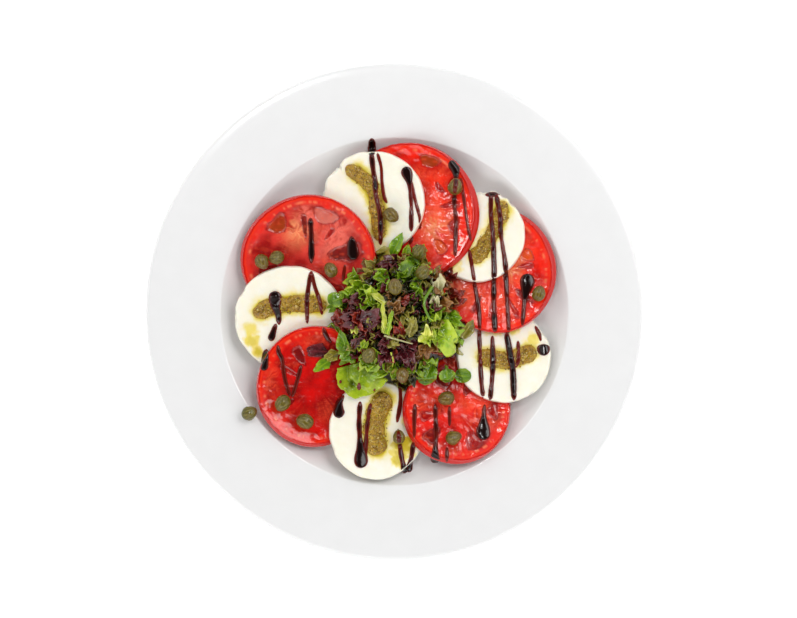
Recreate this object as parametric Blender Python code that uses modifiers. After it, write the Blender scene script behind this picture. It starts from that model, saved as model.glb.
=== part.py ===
"""Caprese salad on a wide-rimmed plate, one closed object for each piece, for Blender 4.5.

Five tomato slices and five mozzarella slices lie in a closed ring, each one over the next one clockwise, so
the ring is a spiral stair that meets itself: every slice is bent to the same ramp, one slice thickness higher
at each step. Strips of pesto, capers and a heap of leaves lie on the ring.

Units are metres and degrees, +Z is up, and the origin is on the table under the middle of the plate.
Run it with blender --background --python part.py, or from Blender's text editor.
"""

import math
import random
from collections import namedtuple

import bmesh
import bpy
from mathutils import Matrix, Vector

# The plate: a flat floor, a shallow rounded wall and a broad rim that rises a little towards its edge.
PLATE_RADIUS = 0.150
WELL_RADIUS = 0.1060
WELL_DEPTH = 0.0110
FLOOR_Z = 0.0080
WALL_FILLET = 0.0280
WALL_SLOPE = 42.0
WALL_THICKNESS = 0.0048
OUTER_WALL_START = 20.0
CORNER_ROUNDING = 0.0020
RIM_SLOPE = 4.0
RIM_THICKNESS = 0.0042
FOOT_OUTER_RADIUS = 0.0885
FOOT_WIDTH = 0.0050
FOOT_HEIGHT = 0.0030
FOOT_DRAFT = 0.0015
PLATE_SEGMENTS = 60
FILLET_STEPS = 5
CORNER_STEPS = 3
EDGE_STEPS = 4

# The slices and the ramp that they lie on.
TOMATO_THICKNESS = 0.0050
MOZZARELLA_THICKNESS = 0.0056
SLICE_GAP = 0.0006
WAVE_DEPTH = 0.016
SLICE_SEGMENTS = 28
SLICE_RINGS = 3
SKIN_BULGE = 0.40
SKIN_BAND = 0.34
OUTLINE_SEED = 7
CUP_START_RADIUS = 0.078
CUP_END_RADIUS = 0.104
CUP_RISE = 0.0055

# What lies on the slices.
TOPPING_GAP = 0.0005
PESTO_HEIGHT = 0.0026
PESTO_EDGE = 0.0002
PESTO_SWELL = 0.10
PESTO_SWELL_TURNS = 5
PESTO_STATIONS = 9
PESTO_SIDES = 8
CAPER_SEGMENTS = 8
CAPER_RINGS = 5
CAPER_TIP = 0.22
CAPER_WAIST = 0.97
CAPER_CLEARANCE = 1.04
CAPER_LEAN = 78.0

# The heap of leaves: a dome, with single leaves that reach out over the slices.
HEAP_CENTRE = Vector((0.0036, -0.0045))
HEAP_RADIUS = 0.0365
HEAP_HEIGHT = 0.0225
LEAF_EDGE = 0.0030
HEAP_SEGMENTS = 36
HEAP_RINGS = 12
HEAP_REACH = 0.0085
HEAP_GAP = 0.0012
HEAP_MARGIN = 0.0045
DOME_SPREAD = 1.04
DOME_FULLNESS = 0.8

# Small waves of the heap's outline and of its top: how many there are round it, how deep, and where they start.
Wave = namedtuple("Wave", "count depth start")
HEAP_OUTLINE_WAVES = [Wave(3, 0.030, 1.9), Wave(7, 0.025, 0.8)]
HEAP_TOP_WAVES = [Wave(3, 0.070, -1.6), Wave(7, 0.050, 0.0)]
HEAP_TWIST = 167.0

# Where contact is looked for: how many ways round, and how far out as shares of the radius.
WAYS_ROUND = 16
SHARES_OUT = (0.35, 0.6, 0.8, 1.0)
LIFT_PLACES = 72

# Clockwise from the slice at the upper left. Middle, mean radius, how much longer than wide, and which way.
Slice = namedtuple("Slice", "name kind x y radius stretch heading")
SLICES = [
    Slice("tomato_slice_1", "tomato", -0.0517, 0.0310, 0.0402, 0.022, 0.0),
    Slice("mozzarella_slice_1", "mozzarella", -0.0132, 0.0655, 0.0318, 0.010, 30.0),
    Slice("tomato_slice_2", "tomato", 0.0102, 0.0608, 0.0411, 0.024, 130.0),
    Slice("mozzarella_slice_2", "mozzarella", 0.0497, 0.0460, 0.0290, 0.020, 20.0),
    Slice("tomato_slice_3", "tomato", 0.0605, 0.0250, 0.0377, 0.014, 112.0),
    Slice("mozzarella_slice_3", "mozzarella", 0.0658, -0.0268, 0.0288, 0.012, 150.0),
    Slice("tomato_slice_4", "tomato", 0.0377, -0.0593, 0.0328, 0.012, 35.0),
    Slice("mozzarella_slice_4", "mozzarella", -0.0105, -0.0712, 0.0298, 0.012, 80.0),
    Slice("tomato_slice_5", "tomato", -0.0470, -0.0452, 0.0365, 0.010, 60.0),
    Slice("mozzarella_slice_5", "mozzarella", -0.0636, -0.0039, 0.0326, 0.018, 10.0),
]

# Start, middle and end of each strip's spine, and its width at the middle.
Strip = namedtuple("Strip", "name start middle end width")
STRIPS = [
    Strip("pesto_strip_1", (-0.0300, 0.0862), (-0.0132, 0.0735), (-0.0095, 0.0425), 0.0078),
    Strip("pesto_strip_2", (0.0652, 0.0668), (0.0603, 0.0495), (0.0463, 0.0298), 0.0080),
    Strip("pesto_strip_3", (0.0502, -0.0252), (0.0667, -0.0293), (0.0850, -0.0222), 0.0086),
    Strip("pesto_strip_4", (-0.0038, -0.0492), (-0.0120, -0.0672), (-0.0086, -0.0862), 0.0106),
    Strip("pesto_strip_5", (-0.0848, -0.0022), (-0.0637, 0.0048), (-0.0410, 0.0022), 0.0086),
]

# Where each caper lies, its radius, and the way that its tip points, from above.
Caper = namedtuple("Caper", "x y radius heading")
CAPERS = [
    Caper(-0.0797, 0.0304, 0.0044, 300.0),
    Caper(-0.0704, 0.0326, 0.0043, 200.0),
    Caper(-0.0379, 0.0247, 0.0043, 120.0),
    Caper(-0.0022, 0.0580, 0.0046, 320.0),
    Caper(0.0364, 0.0745, 0.0047, 80.0),
    Caper(0.0147, 0.0352, 0.0043, 70.0),
    Caper(0.0006, 0.0142, 0.0045, 100.0),
    Caper(0.0866, 0.0105, 0.0044, 75.0),
    Caper(0.0316, -0.0520, 0.0046, 190.0),
    Caper(0.0352, -0.0757, 0.0045, 20.0),
    Caper(-0.0667, -0.0545, 0.0049, 235.0),
    Caper(-0.0532, -0.0660, 0.0049, 165.0),
    Caper(-0.0876, -0.0612, 0.0045, 30.0),
    Caper(0.0028, -0.0757, 0.0040, 95.0),
    Caper(-0.0152, -0.0262, 0.0044, 60.0),
    Caper(0.0048, -0.0372, 0.0042, 270.0),
    Caper(0.0165, 0.0230, 0.0042, 45.0),
]

# The leaves that reach out of the heap: the way they point, how far past the dome, and half their width.
Reach = namedtuple("Reach", "heading length width")
REACHES = [
    Reach(90.0, 0.0130, 10.0),
    Reach(165.0, 0.0075, 13.0),
    Reach(205.0, 0.0165, 10.0),
    Reach(234.0, 0.0130, 10.0),
    Reach(256.0, 0.0120, 11.0),
    Reach(296.0, 0.0050, 8.0),
    Reach(315.0, 0.0120, 10.0),
    Reach(352.0, 0.0085, 10.0),
    Reach(25.0, 0.0060, 12.0),
]

# Name: colour, roughness, metallic.
FINISHES = {
    "porcelain": ((0.86, 0.86, 0.85), 0.12, 0.0),
    "tomato": ((0.72, 0.04, 0.02), 0.25, 0.0),
    "mozzarella": ((0.92, 0.88, 0.76), 0.35, 0.0),
    "pesto": ((0.24, 0.18, 0.03), 0.45, 0.0),
    "caper": ((0.19, 0.19, 0.06), 0.40, 0.0),
    "leaves": ((0.14, 0.26, 0.03), 0.40, 0.0),
}


def clear_scene():
    for old in list(bpy.data.objects):
        bpy.data.objects.remove(old, do_unlink=True)


def finish_material(name):
    """The named finish as a Principled BSDF, made once."""
    material = bpy.data.materials.get(name)
    if material:
        return material
    colour, roughness, metallic = FINISHES[name]
    material = bpy.data.materials.new(name)
    material.use_nodes = True
    shader = material.node_tree.nodes["Principled BSDF"]
    shader.inputs["Base Color"].default_value = (*colour, 1.0)
    shader.inputs["Roughness"].default_value = roughness
    shader.inputs["Metallic"].default_value = metallic
    return material


def add_piece(name, mesh, finish, collection):
    mesh.materials.clear()
    mesh.materials.append(finish_material(finish))
    mesh.shade_smooth()
    mesh.set_sharp_from_angle(angle=math.radians(50))
    piece = bpy.data.objects.new(name, mesh)
    collection.objects.link(piece)
    return piece


def arc(centre_r, centre_z, radius, start, end, steps):
    """Points (r, z) on an arc. The angle is measured from straight down, towards +r."""
    angles = [math.radians(start + (end - start) * i / steps) for i in range(steps + 1)]
    return [(centre_r + radius * math.sin(a), centre_z - radius * math.cos(a)) for a in angles]


def turned_mesh(name, profile, segments):
    """A closed solid turned about Z from a profile that runs from the top of the axis, outside, to its foot."""
    line = bpy.data.meshes.new(name + "_profile")
    edges = [(i, i + 1) for i in range(len(profile) - 1)]
    line.from_pydata([(r, 0.0, z) for r, z in profile], edges, [])
    turning = bpy.data.objects.new(name + "_profile", line)
    bpy.context.scene.collection.objects.link(turning)
    screw = turning.modifiers.new("turn", "SCREW")
    screw.steps = segments
    screw.render_steps = segments
    screw.use_merge_vertices = True
    screw.merge_threshold = 0.00001
    graph = bpy.context.evaluated_depsgraph_get()
    mesh = bpy.data.meshes.new_from_object(turning.evaluated_get(graph))
    mesh.name = name
    bpy.data.objects.remove(turning, do_unlink=True)
    return mesh


def plate_profile():
    """The plate's outline from the top of the axis, over the rim, to the underside.

    The wall is a fillet and a short straight stretch, which runs smoothly into the rim's rounded corner.
    """
    slope = math.radians(WALL_SLOPE)
    corner_z = FLOOR_Z + WELL_DEPTH - CORNER_ROUNDING
    corner = arc(
        WELL_RADIUS, corner_z, CORNER_ROUNDING, 180 + WALL_SLOPE, 180 + RIM_SLOPE, CORNER_STEPS
    )
    straight = (corner[0][1] - FLOOR_Z - WALL_FILLET * (1 - math.cos(slope))) / math.sin(slope)
    fillet_r = corner[0][0] - straight * math.cos(slope) - WALL_FILLET * math.sin(slope)
    fillet_z = FLOOR_Z + WALL_FILLET
    fillet = arc(fillet_r, fillet_z, WALL_FILLET, 0, WALL_SLOPE, FILLET_STEPS)
    rim_rise = math.tan(math.radians(RIM_SLOPE)) * (PLATE_RADIUS - corner[-1][0])
    edge_radius = RIM_THICKNESS / 2
    edge_centre = (PLATE_RADIUS - edge_radius, corner[-1][1] + rim_rise - edge_radius)
    edge = arc(*edge_centre, edge_radius, 180 + RIM_SLOPE, RIM_SLOPE, EDGE_STEPS)
    wall = arc(
        fillet_r, fillet_z, WALL_FILLET + WALL_THICKNESS, WALL_SLOPE, OUTER_WALL_START, CORNER_STEPS
    )
    under_z = corner[-1][1] - RIM_THICKNESS
    rim_under = (wall[0][0] + (under_z - wall[0][1]) / math.tan(slope), under_z)
    foot_inner_radius = FOOT_OUTER_RADIUS - FOOT_WIDTH
    foot = [
        (FOOT_OUTER_RADIUS + FOOT_DRAFT, FOOT_HEIGHT),
        (FOOT_OUTER_RADIUS, 0.0),
        (foot_inner_radius, 0.0),
        (foot_inner_radius - FOOT_DRAFT, FOOT_HEIGHT),
    ]
    return [(0.0, FLOOR_Z), *fillet, *corner, *edge, rim_under, *wall, *foot, (0.0, FOOT_HEIGHT)]


PLATE_PROFILE = plate_profile()


def plate_surface(x, y):
    """Height of the plate's upper side at a point, read off its profile."""
    r = math.hypot(x, y)
    for (r0, z0), (r1, z1) in zip(PLATE_PROFILE, PLATE_PROFILE[1:]):
        if r0 <= r <= r1 and r1 > r0:
            return z0 + (z1 - z0) * (r - r0) / (r1 - r0)
    return FLOOR_Z


def thickness_of(piece):
    return TOMATO_THICKNESS if piece.kind == "tomato" else MOZZARELLA_THICKNESS


def ramp_levels():
    """The clockwise angle at which each slice's ramp is at zero height, and the rise per radian.

    A slice lies on the next one, so its ramp starts earlier than the next one's by that one's thickness.
    Ten such steps make the whole turn, which is what closes the ring.
    """
    steps = [thickness_of(piece) + SLICE_GAP for piece in SLICES]
    rise = sum(steps) / (2 * math.pi)
    levels = [0.0]
    for step in steps[1:]:
        levels.append(levels[-1] + step / rise)
    return levels, rise


LEVELS, RISE = ramp_levels()


def clockwise_angle(x, y):
    """Angle clockwise from the first slice's middle, seen from above."""
    first = math.atan2(SLICES[0].y, SLICES[0].x)
    return (first - math.atan2(y, x)) % (2 * math.pi)


def outline_waves():
    """For each slice, where its three small waves start."""
    chance = random.Random(OUTLINE_SEED)
    return {piece.name: [chance.uniform(0, 2 * math.pi) for _ in range(3)] for piece in SLICES}


OUTLINE_WAVES = outline_waves()


def outline_radius(piece, angle):
    """The slice's radius in one direction: a stretched round, made uneven by three small waves."""
    radius = 1 + piece.stretch * math.cos(2 * (angle - math.radians(piece.heading)))
    for count, start in enumerate(OUTLINE_WAVES[piece.name], start=3):
        radius += WAVE_DEPTH / count * math.cos(count * angle + start)
    return piece.radius * radius


def inside(piece, x, y):
    angle = math.atan2(y - piece.y, x - piece.x)
    return math.hypot(x - piece.x, y - piece.y) <= outline_radius(piece, angle)


def cup(x, y):
    """How far the ring turns up where it leans on the plate's wall."""
    share = (math.hypot(x, y) - CUP_START_RADIUS) / (CUP_END_RADIUS - CUP_START_RADIUS)
    return CUP_RISE * max(share, 0.0) ** 2


def ramp_height(piece, x, y):
    """The ramp under one slice, before the ring is lifted onto the plate's floor."""
    level = LEVELS[SLICES.index(piece)]
    turn = clockwise_angle(x, y) - level
    turn = (turn + math.pi) % (2 * math.pi) - math.pi
    return RISE * turn + cup(x, y)


def around(x, y, radius, shares=SHARES_OUT):
    """Points on rings round a point, with each ring's share of the radius."""
    for share in shares:
        for i in range(WAYS_ROUND):
            angle = 2 * math.pi * i / WAYS_ROUND
            yield x + share * radius * math.cos(angle), y + share * radius * math.sin(angle), share


def ring_lift():
    """How far the ring is lifted so that it just rests on the plate, wherever it meets it first."""
    lifts = []
    for piece in SLICES:
        for i in range(LIFT_PLACES):
            angle = 2 * math.pi * i / LIFT_PLACES
            for share in SHARES_OUT:
                x = piece.x + share * outline_radius(piece, angle) * math.cos(angle)
                y = piece.y + share * outline_radius(piece, angle) * math.sin(angle)
                lifts.append(plate_surface(x, y) - ramp_height(piece, x, y))
    return max(lifts) + SLICE_GAP


RING_LIFT = ring_lift()


def slice_bottom(piece, x, y):
    return RING_LIFT + ramp_height(piece, x, y)


def slice_profile(piece):
    """A flat round of unit radius and of the slice's thickness, with a skin that bulges a little."""
    thick = thickness_of(piece)
    edge = SKIN_BULGE * thick / piece.radius
    rings = [(1 - edge) * i / SLICE_RINGS for i in range(SLICE_RINGS + 1)]
    top = [(r, thick) for r in rings]
    bottom = [(r, 0.0) for r in reversed(rings)]
    return [*top, (1.0, (1 - SKIN_BAND) * thick), (1.0, SKIN_BAND * thick), *bottom]


def make_slice(piece, collection):
    """The turned round, widened to its uneven outline and then laid on the ramp."""
    mesh = turned_mesh(piece.name, slice_profile(piece), SLICE_SEGMENTS)
    for vertex in mesh.vertices:
        x, y, z = vertex.co
        angle = math.atan2(y, x)
        reach = math.hypot(x, y) * outline_radius(piece, angle)
        px = piece.x + reach * math.cos(angle)
        py = piece.y + reach * math.sin(angle)
        vertex.co = (px, py, z + slice_bottom(piece, px, py))
    return add_piece(piece.name, mesh, piece.kind, collection)


def ring_surface(x, y):
    """Height of the uppermost thing at a point: a slice's upper face, or else the plate."""
    tops = [slice_bottom(p, x, y) + thickness_of(p) for p in SLICES if inside(p, x, y)]
    return max([plate_surface(x, y), *tops])


def surface_within(x, y, reach):
    """The highest surface within a short reach of a point, so that what is put there stays clear."""
    places = [(x, y), *((px, py) for px, py, _ in around(x, y, reach))]
    return max(ring_surface(px, py) for px, py in places)


def sphere_mesh(name, segments, rings):
    mesh = bpy.data.meshes.new(name)
    ball = bmesh.new()
    bmesh.ops.create_uvsphere(ball, u_segments=segments, v_segments=rings, radius=1.0)
    ball.to_mesh(mesh)
    ball.free()
    return mesh


def on_spine(strip, share):
    """Point and direction along the curve through the strip's three points, for a share from 0 to 1."""
    start, middle, end = (Vector(p) for p in (strip.start, strip.middle, strip.end))
    handle = 2 * middle - (start + end) / 2
    point = (1 - share) ** 2 * start + 2 * share * (1 - share) * handle + share**2 * end
    along = 2 * (1 - share) * (handle - start) + 2 * share * (end - handle)
    return point, along.normalized()


def make_strip(strip, collection):
    """A ball drawn out along the spine, domed above and lying on the cheese below."""
    mesh = sphere_mesh(strip.name, PESTO_SIDES, PESTO_STATIONS)
    mesh.transform(Matrix.Rotation(math.radians(90), 4, "Y"))
    for vertex in mesh.vertices:
        along, across, up = vertex.co
        point, heading = on_spine(strip, (along + 1) / 2)
        side = Vector((-heading.y, heading.x))
        fullness = 1 + PESTO_SWELL * math.sin(PESTO_SWELL_TURNS * along)
        place = point + side * across * fullness * strip.width / 2
        is_upper = up > -1 / PESTO_STATIONS
        height = PESTO_HEIGHT * max(up, 0.0) + (PESTO_EDGE if is_upper else 0.0)
        vertex.co = (place.x, place.y, ring_surface(place.x, place.y) + TOPPING_GAP + height)
    return add_piece(strip.name, mesh, "pesto", collection)


def waves_at(angle, waves):
    return sum(wave.depth * math.cos(wave.count * angle + wave.start) for wave in waves)


def heap_outline(angle):
    """The heap's radius in one direction: uneven, with single leaves that reach past the dome."""
    radius = HEAP_RADIUS * (1 + waves_at(angle, HEAP_OUTLINE_WAVES))
    for leaf in REACHES:
        off = (math.degrees(angle) - leaf.heading + 180) % 360 - 180
        radius += leaf.length * math.exp(-((off / leaf.width) ** 2))
    return radius


def from_heap_centre(x, y):
    offset = Vector((x, y)) - HEAP_CENTRE
    return offset.length, math.atan2(offset.y, offset.x)


def heap_top(x, y):
    """Height of the heap's upper side: a dome with the bumps of leaves in it, and thin leaves round it."""
    distance, angle = from_heap_centre(x, y)
    dome = max(1 - (distance / (HEAP_RADIUS * DOME_SPREAD)) ** 2, 0.0) ** DOME_FULLNESS
    bumps = 1 + waves_at(angle + HEAP_TWIST * distance / 3, HEAP_TOP_WAVES)
    rest = surface_within(x, y, HEAP_REACH) + HEAP_GAP
    ring_top = RING_LIFT + RISE + TOMATO_THICKNESS
    return max(rest + LEAF_EDGE, ring_top + (HEAP_HEIGHT - LEAF_EDGE) * dome * bumps)


def make_heap(collection):
    """A ball spread to the heap's outline, its upper half domed and its lower half lying on the ring."""
    mesh = sphere_mesh("salad_leaves", HEAP_SEGMENTS, HEAP_RINGS)
    for vertex in mesh.vertices:
        x, y, z = vertex.co
        angle = math.atan2(y, x)
        reach = min(math.hypot(x, y), 1.0) * heap_outline(angle)
        px = HEAP_CENTRE.x + reach * math.cos(angle)
        py = HEAP_CENTRE.y + reach * math.sin(angle)
        if z > -1 / HEAP_RINGS:
            vertex.co = (px, py, heap_top(px, py))
        else:
            vertex.co = (px, py, surface_within(px, py, HEAP_REACH) + HEAP_GAP)
    return add_piece("salad_leaves", mesh, "leaves", collection)


def top_surface(x, y):
    """Height of the uppermost thing at a point once the heap is on the ring."""
    distance, angle = from_heap_centre(x, y)
    return heap_top(x, y) if distance < heap_outline(angle) + HEAP_MARGIN else ring_surface(x, y)


def lying_height(x, y, radius):
    """Height of a ball's middle when it is let down at a point until it touches something."""
    heights = [top_surface(x, y) + radius]
    for px, py, share in around(x, y, radius):
        heights.append(top_surface(px, py) + radius * math.sqrt(1 - share**2))
    return max(heights)


def make_caper(number, caper, collection):
    """A bud: a ball a little longer than wide, drawn out to a tip at one end, lying on its side."""
    mesh = sphere_mesh(f"caper_{number:02d}", CAPER_SEGMENTS, CAPER_RINGS)
    for vertex in mesh.vertices:
        x, y, z = vertex.co
        vertex.co = (CAPER_WAIST * x, CAPER_WAIST * y, z * (1 + CAPER_TIP * max(z, 0.0) ** 2))
    height = lying_height(caper.x, caper.y, CAPER_CLEARANCE * caper.radius) + TOPPING_GAP
    place = Matrix.Translation((caper.x, caper.y, height))
    turn = Matrix.Rotation(math.radians(caper.heading), 4, "Z")
    lean = Matrix.Rotation(math.radians(CAPER_LEAN), 4, "Y")
    mesh.transform(place @ turn @ lean @ Matrix.Scale(caper.radius, 4))
    return add_piece(mesh.name, mesh, "caper", collection)


def main():
    clear_scene()
    collection = bpy.data.collections.new("caprese_salad")
    bpy.context.scene.collection.children.link(collection)
    plate = turned_mesh("plate", PLATE_PROFILE, PLATE_SEGMENTS)
    add_piece("plate", plate, "porcelain", collection)
    for piece in SLICES:
        make_slice(piece, collection)
    for strip in STRIPS:
        make_strip(strip, collection)
    make_heap(collection)
    for number, caper in enumerate(CAPERS, start=1):
        make_caper(number, caper, collection)


main()
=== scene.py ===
"""Caprese salad on a broad-rimmed plate: the finish of every piece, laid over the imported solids.

Metres and degrees, +Z up. The plate stands on the table at the origin, and +Y is its far side.
"""

import itertools
import math
from collections import namedtuple

import bpy
import numpy as np
from mathutils import Matrix, Vector
from mathutils.bvhtree import BVHTree


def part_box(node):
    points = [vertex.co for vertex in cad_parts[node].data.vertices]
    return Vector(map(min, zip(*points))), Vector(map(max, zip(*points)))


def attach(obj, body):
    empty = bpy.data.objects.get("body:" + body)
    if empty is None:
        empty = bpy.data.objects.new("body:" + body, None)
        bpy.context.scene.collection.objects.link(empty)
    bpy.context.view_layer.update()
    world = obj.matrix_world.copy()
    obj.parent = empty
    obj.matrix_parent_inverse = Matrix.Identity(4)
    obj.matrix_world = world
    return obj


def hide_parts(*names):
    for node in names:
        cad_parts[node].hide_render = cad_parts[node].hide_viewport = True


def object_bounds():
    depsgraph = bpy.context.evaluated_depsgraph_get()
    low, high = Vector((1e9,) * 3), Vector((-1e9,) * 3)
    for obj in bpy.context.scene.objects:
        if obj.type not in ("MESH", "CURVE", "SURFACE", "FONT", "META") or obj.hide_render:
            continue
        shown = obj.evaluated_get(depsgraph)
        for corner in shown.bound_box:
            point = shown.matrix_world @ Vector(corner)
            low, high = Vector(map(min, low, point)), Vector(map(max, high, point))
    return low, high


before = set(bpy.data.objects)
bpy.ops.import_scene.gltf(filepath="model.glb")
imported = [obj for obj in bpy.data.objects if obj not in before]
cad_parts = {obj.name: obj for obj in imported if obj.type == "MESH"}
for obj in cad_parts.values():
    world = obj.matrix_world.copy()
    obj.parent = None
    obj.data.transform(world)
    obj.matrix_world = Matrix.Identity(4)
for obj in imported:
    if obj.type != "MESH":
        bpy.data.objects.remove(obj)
cad_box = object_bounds()
cad_low, cad_high = (Vector(corner) for corner in cad_box)

# ---- The table, the light and the eye ----------------------------------------------------------------------
# The plate stands on a plain white light table, in a bright room with a dark ceiling. One big soft box is on
# the right and another in front, a long one far to the left, a small one high up, and a ring of very small
# ones all round: shadows are soft and wet things glint.

TABLE_SIZE = 6.0
TABLE_COLOUR = (0.90, 0.90, 0.90)
TABLE_GLOW = 0.45
ROOM_BRIGHTNESS = 0.97
CEILING_BRIGHTNESS = 0.10
# How steeply one looks up, as the sine, where the ceiling starts and where it has grown fully dark.
CEILING_FROM, CEILING_TO = 0.60, 0.85
EYE_PLACE = Vector((0.0025, 0.0016, 1.35))
VIEW_WIDTH = 0.4796
FOOD_LEVEL = 0.024
SENSOR_WIDTH = 36.0
# Each lamp's name, its place, its width and height, and its power.
LAMPS = [
    ("key_light", (0.48, 0.38, 1.02), 0.55, 0.42, 4.2),
    ("high_light", (-0.20, 0.34, 1.15), 0.13, 0.13, 1.3),
    ("near_fill", (-0.30, -0.86, 0.86), 0.9, 0.5, 3.3),
    ("far_strip", (-0.85, 0.55, 1.0), 0.25, 1.0, 0.9),
]
GLINT_BEARINGS = (10, 82, 154, 226, 298)
GLINT_REACH = 0.95
GLINT_HEIGHT = 0.85
GLINT_SIZE = 0.08
GLINT_POWER = 0.42


def pigment(red, green, blue):
    """A colour given as it looks, 0 to 255, turned into light."""
    shares = [channel / 255 for channel in (red, green, blue)]
    return np.array([s / 12.92 if s < 0.04045 else ((s + 0.055) / 1.055) ** 2.4 for s in shares])


class Finish:
    """One piece's surface, mixed node by node. Its textures are laid out in metres."""

    def __init__(self, name):
        self.material = bpy.data.materials.new(name)
        self.material.use_nodes = True
        self.nodes = self.material.node_tree.nodes
        self.links = self.material.node_tree.links
        self.shader = self.nodes["Principled BSDF"]
        self.place = self.nodes.new("ShaderNodeTexCoord").outputs["Object"]

    def add(self, kind, inputs, **settings):
        node = self.nodes.new("ShaderNode" + kind)
        for key, value in settings.items():
            setattr(node, key, value)
        for key, value in inputs.items():
            self.feed(node.inputs[key], value)
        return node

    def feed(self, socket, value):
        if isinstance(value, bpy.types.NodeSocket):
            self.links.new(value, socket)
        elif socket.type == "RGBA":
            socket.default_value = (*value, 1.0)
        else:
            socket.default_value = value

    def surface(self, **values):
        """Sets the shader's own sockets, named with _ for a space."""
        for key, value in values.items():
            self.feed(self.shader.inputs[key.replace("_", " ")], value)

    def noise(self, size, detail=3.0, roughness=0.55):
        """Patches about size metres across, from 0 to 1."""
        inputs = {"Vector": self.place, "Scale": 1 / size, "Detail": detail, "Roughness": roughness}
        return self.add("TexNoise", inputs).outputs["Fac"]

    def field(self, name, output="Fac"):
        """A value painted on the mesh, or with the output "Color" a colour."""
        return self.add("Attribute", {}, attribute_name=name).outputs[output]

    def painted(self, name):
        return self.field(name, "Color")

    def spread(self, value, low, high, to_low=0.0, to_high=1.0):
        inputs = {0: value, 1: low, 2: high, 3: to_low, 4: to_high}
        return self.add("MapRange", inputs).outputs[0]

    def sum(self, first, second):
        return self.add("Math", {0: first, 1: second}, operation="ADD").outputs[0]

    def times(self, value, factor):
        return self.add("Math", {0: value, 1: factor}, operation="MULTIPLY").outputs[0]

    def mix(self, share, first, second):
        node = self.add("Mix", {0: share}, data_type="RGBA")
        self.feed(node.inputs[6], first)
        self.feed(node.inputs[7], second)
        return node.outputs[2]

    def bumps(self, height, depth):
        """Relief of the given depth in metres, from a height between 0 and 1."""
        relief = self.add("Bump", {"Height": height, "Distance": depth, "Strength": 1.0})
        self.feed(self.shader.inputs["Normal"], relief.outputs["Normal"])


def soft_box(name, place, width, height, power):
    """A lamp behind a sheet of cloth, turned to the middle of the plate."""
    lamp = bpy.data.lights.new(name, "AREA")
    lamp.shape = "RECTANGLE"
    lamp.size = width
    lamp.size_y = height
    lamp.energy = power
    box = bpy.data.objects.new(name, lamp)
    box.location = place
    box.rotation_euler = (-Vector(place)).to_track_quat("-Z", "Y").to_euler()
    bpy.context.scene.collection.objects.link(box)


sheet = bpy.data.meshes.new("table")
sheet_corners = [(x * TABLE_SIZE / 2, y * TABLE_SIZE / 2, 0) for x, y in ((-1, -1), (1, -1), (1, 1), (-1, 1))]
sheet.from_pydata(sheet_corners, [], [(0, 1, 2, 3)])
table = bpy.data.objects.new("table", sheet)
bpy.context.scene.collection.objects.link(table)
table_finish = Finish("white_table")
table_grain = table_finish.noise(0.02)
table_finish.surface(
    Base_Color=TABLE_COLOUR,
    Roughness=table_finish.spread(table_grain, 0.3, 0.7, 0.55, 0.65),
    Emission_Color=(1.0, 1.0, 1.0),
    Emission_Strength=TABLE_GLOW,
)
table.data.materials.append(table_finish.material)

for lamp in LAMPS:
    soft_box(*lamp)
for number, bearing in enumerate(GLINT_BEARINGS):
    turn = math.radians(bearing)
    place = (GLINT_REACH * math.cos(turn), GLINT_REACH * math.sin(turn), GLINT_HEIGHT)
    soft_box(f"glint_{number}", place, GLINT_SIZE, GLINT_SIZE, GLINT_POWER)

room = bpy.data.worlds.new("bright_room")
bpy.context.scene.world = room
room.use_nodes = True
air = room.node_tree
direction = air.nodes.new("ShaderNodeSeparateXYZ")
air.links.new(air.nodes.new("ShaderNodeTexCoord").outputs["Generated"], direction.inputs[0])
ceiling = air.nodes.new("ShaderNodeMapRange")
for socket, value in enumerate((CEILING_FROM, CEILING_TO, ROOM_BRIGHTNESS, CEILING_BRIGHTNESS), start=1):
    ceiling.inputs[socket].default_value = value
air.links.new(direction.outputs["Z"], ceiling.inputs[0])
air.links.new(ceiling.outputs[0], air.nodes["Background"].inputs["Strength"])
air.nodes["Background"].inputs["Color"].default_value = (1.0, 1.0, 1.0, 1.0)
bpy.context.scene.view_settings.view_transform = "Standard"

lens = bpy.data.cameras.new("eye")
lens.sensor_width = SENSOR_WIDTH
lens.lens = SENSOR_WIDTH * (EYE_PLACE.z - cad_low.z - FOOD_LEVEL) / VIEW_WIDTH
eye = bpy.data.objects.new("eye", lens)
eye.location = EYE_PLACE
bpy.context.scene.collection.objects.link(eye)
bpy.context.scene.camera = eye

# ---- The plate ---------------------------------------------------------------------------------------------
# A dinner plate of white porcelain, pressed and glazed in one piece: a flat floor, a steep rounded wall and a
# broad rim that rises a little towards its edge. It stands on a foot ring, which on the real plate is left
# unglazed; here the ring takes the same glazed finish as the rest.

PLATE_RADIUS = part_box("plate")[1][0]
WELL_RADIUS = 0.1060
WELL_DEPTH = 0.0110
FLOOR_Z = 0.0080
WALL_FILLET = 0.0280
WALL_SLOPE = 42.0
WALL_THICKNESS = 0.0048
OUTER_WALL_START = 20.0
CORNER_ROUNDING = 0.0020
RIM_SLOPE = 4.0
RIM_THICKNESS = 0.0042
FOOT_OUTER_RADIUS = 0.0885
FOOT_WIDTH = 0.0050
FOOT_HEIGHT = 0.0030
FOOT_DRAFT = 0.0015
FOOT_ROUNDING = 0.0003
ROLL_START = 0.132
ROLL_DROP = 0.0006
PLATE_PLACES = 288
PORCELAIN = pigment(234, 234, 234)


def full_turn(places):
    """Evenly spaced bearings all the way round."""
    return np.linspace(0, 2 * np.pi, places, endpoint=False)


def arc(centre_r, centre_z, radius, start, end, steps):
    """Points (r, z) on an arc. The angle is measured from straight down, towards +r."""
    angles = np.radians(np.linspace(start, end, steps + 1))
    return [(centre_r + radius * math.sin(a), centre_z - radius * math.cos(a)) for a in angles]


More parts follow.
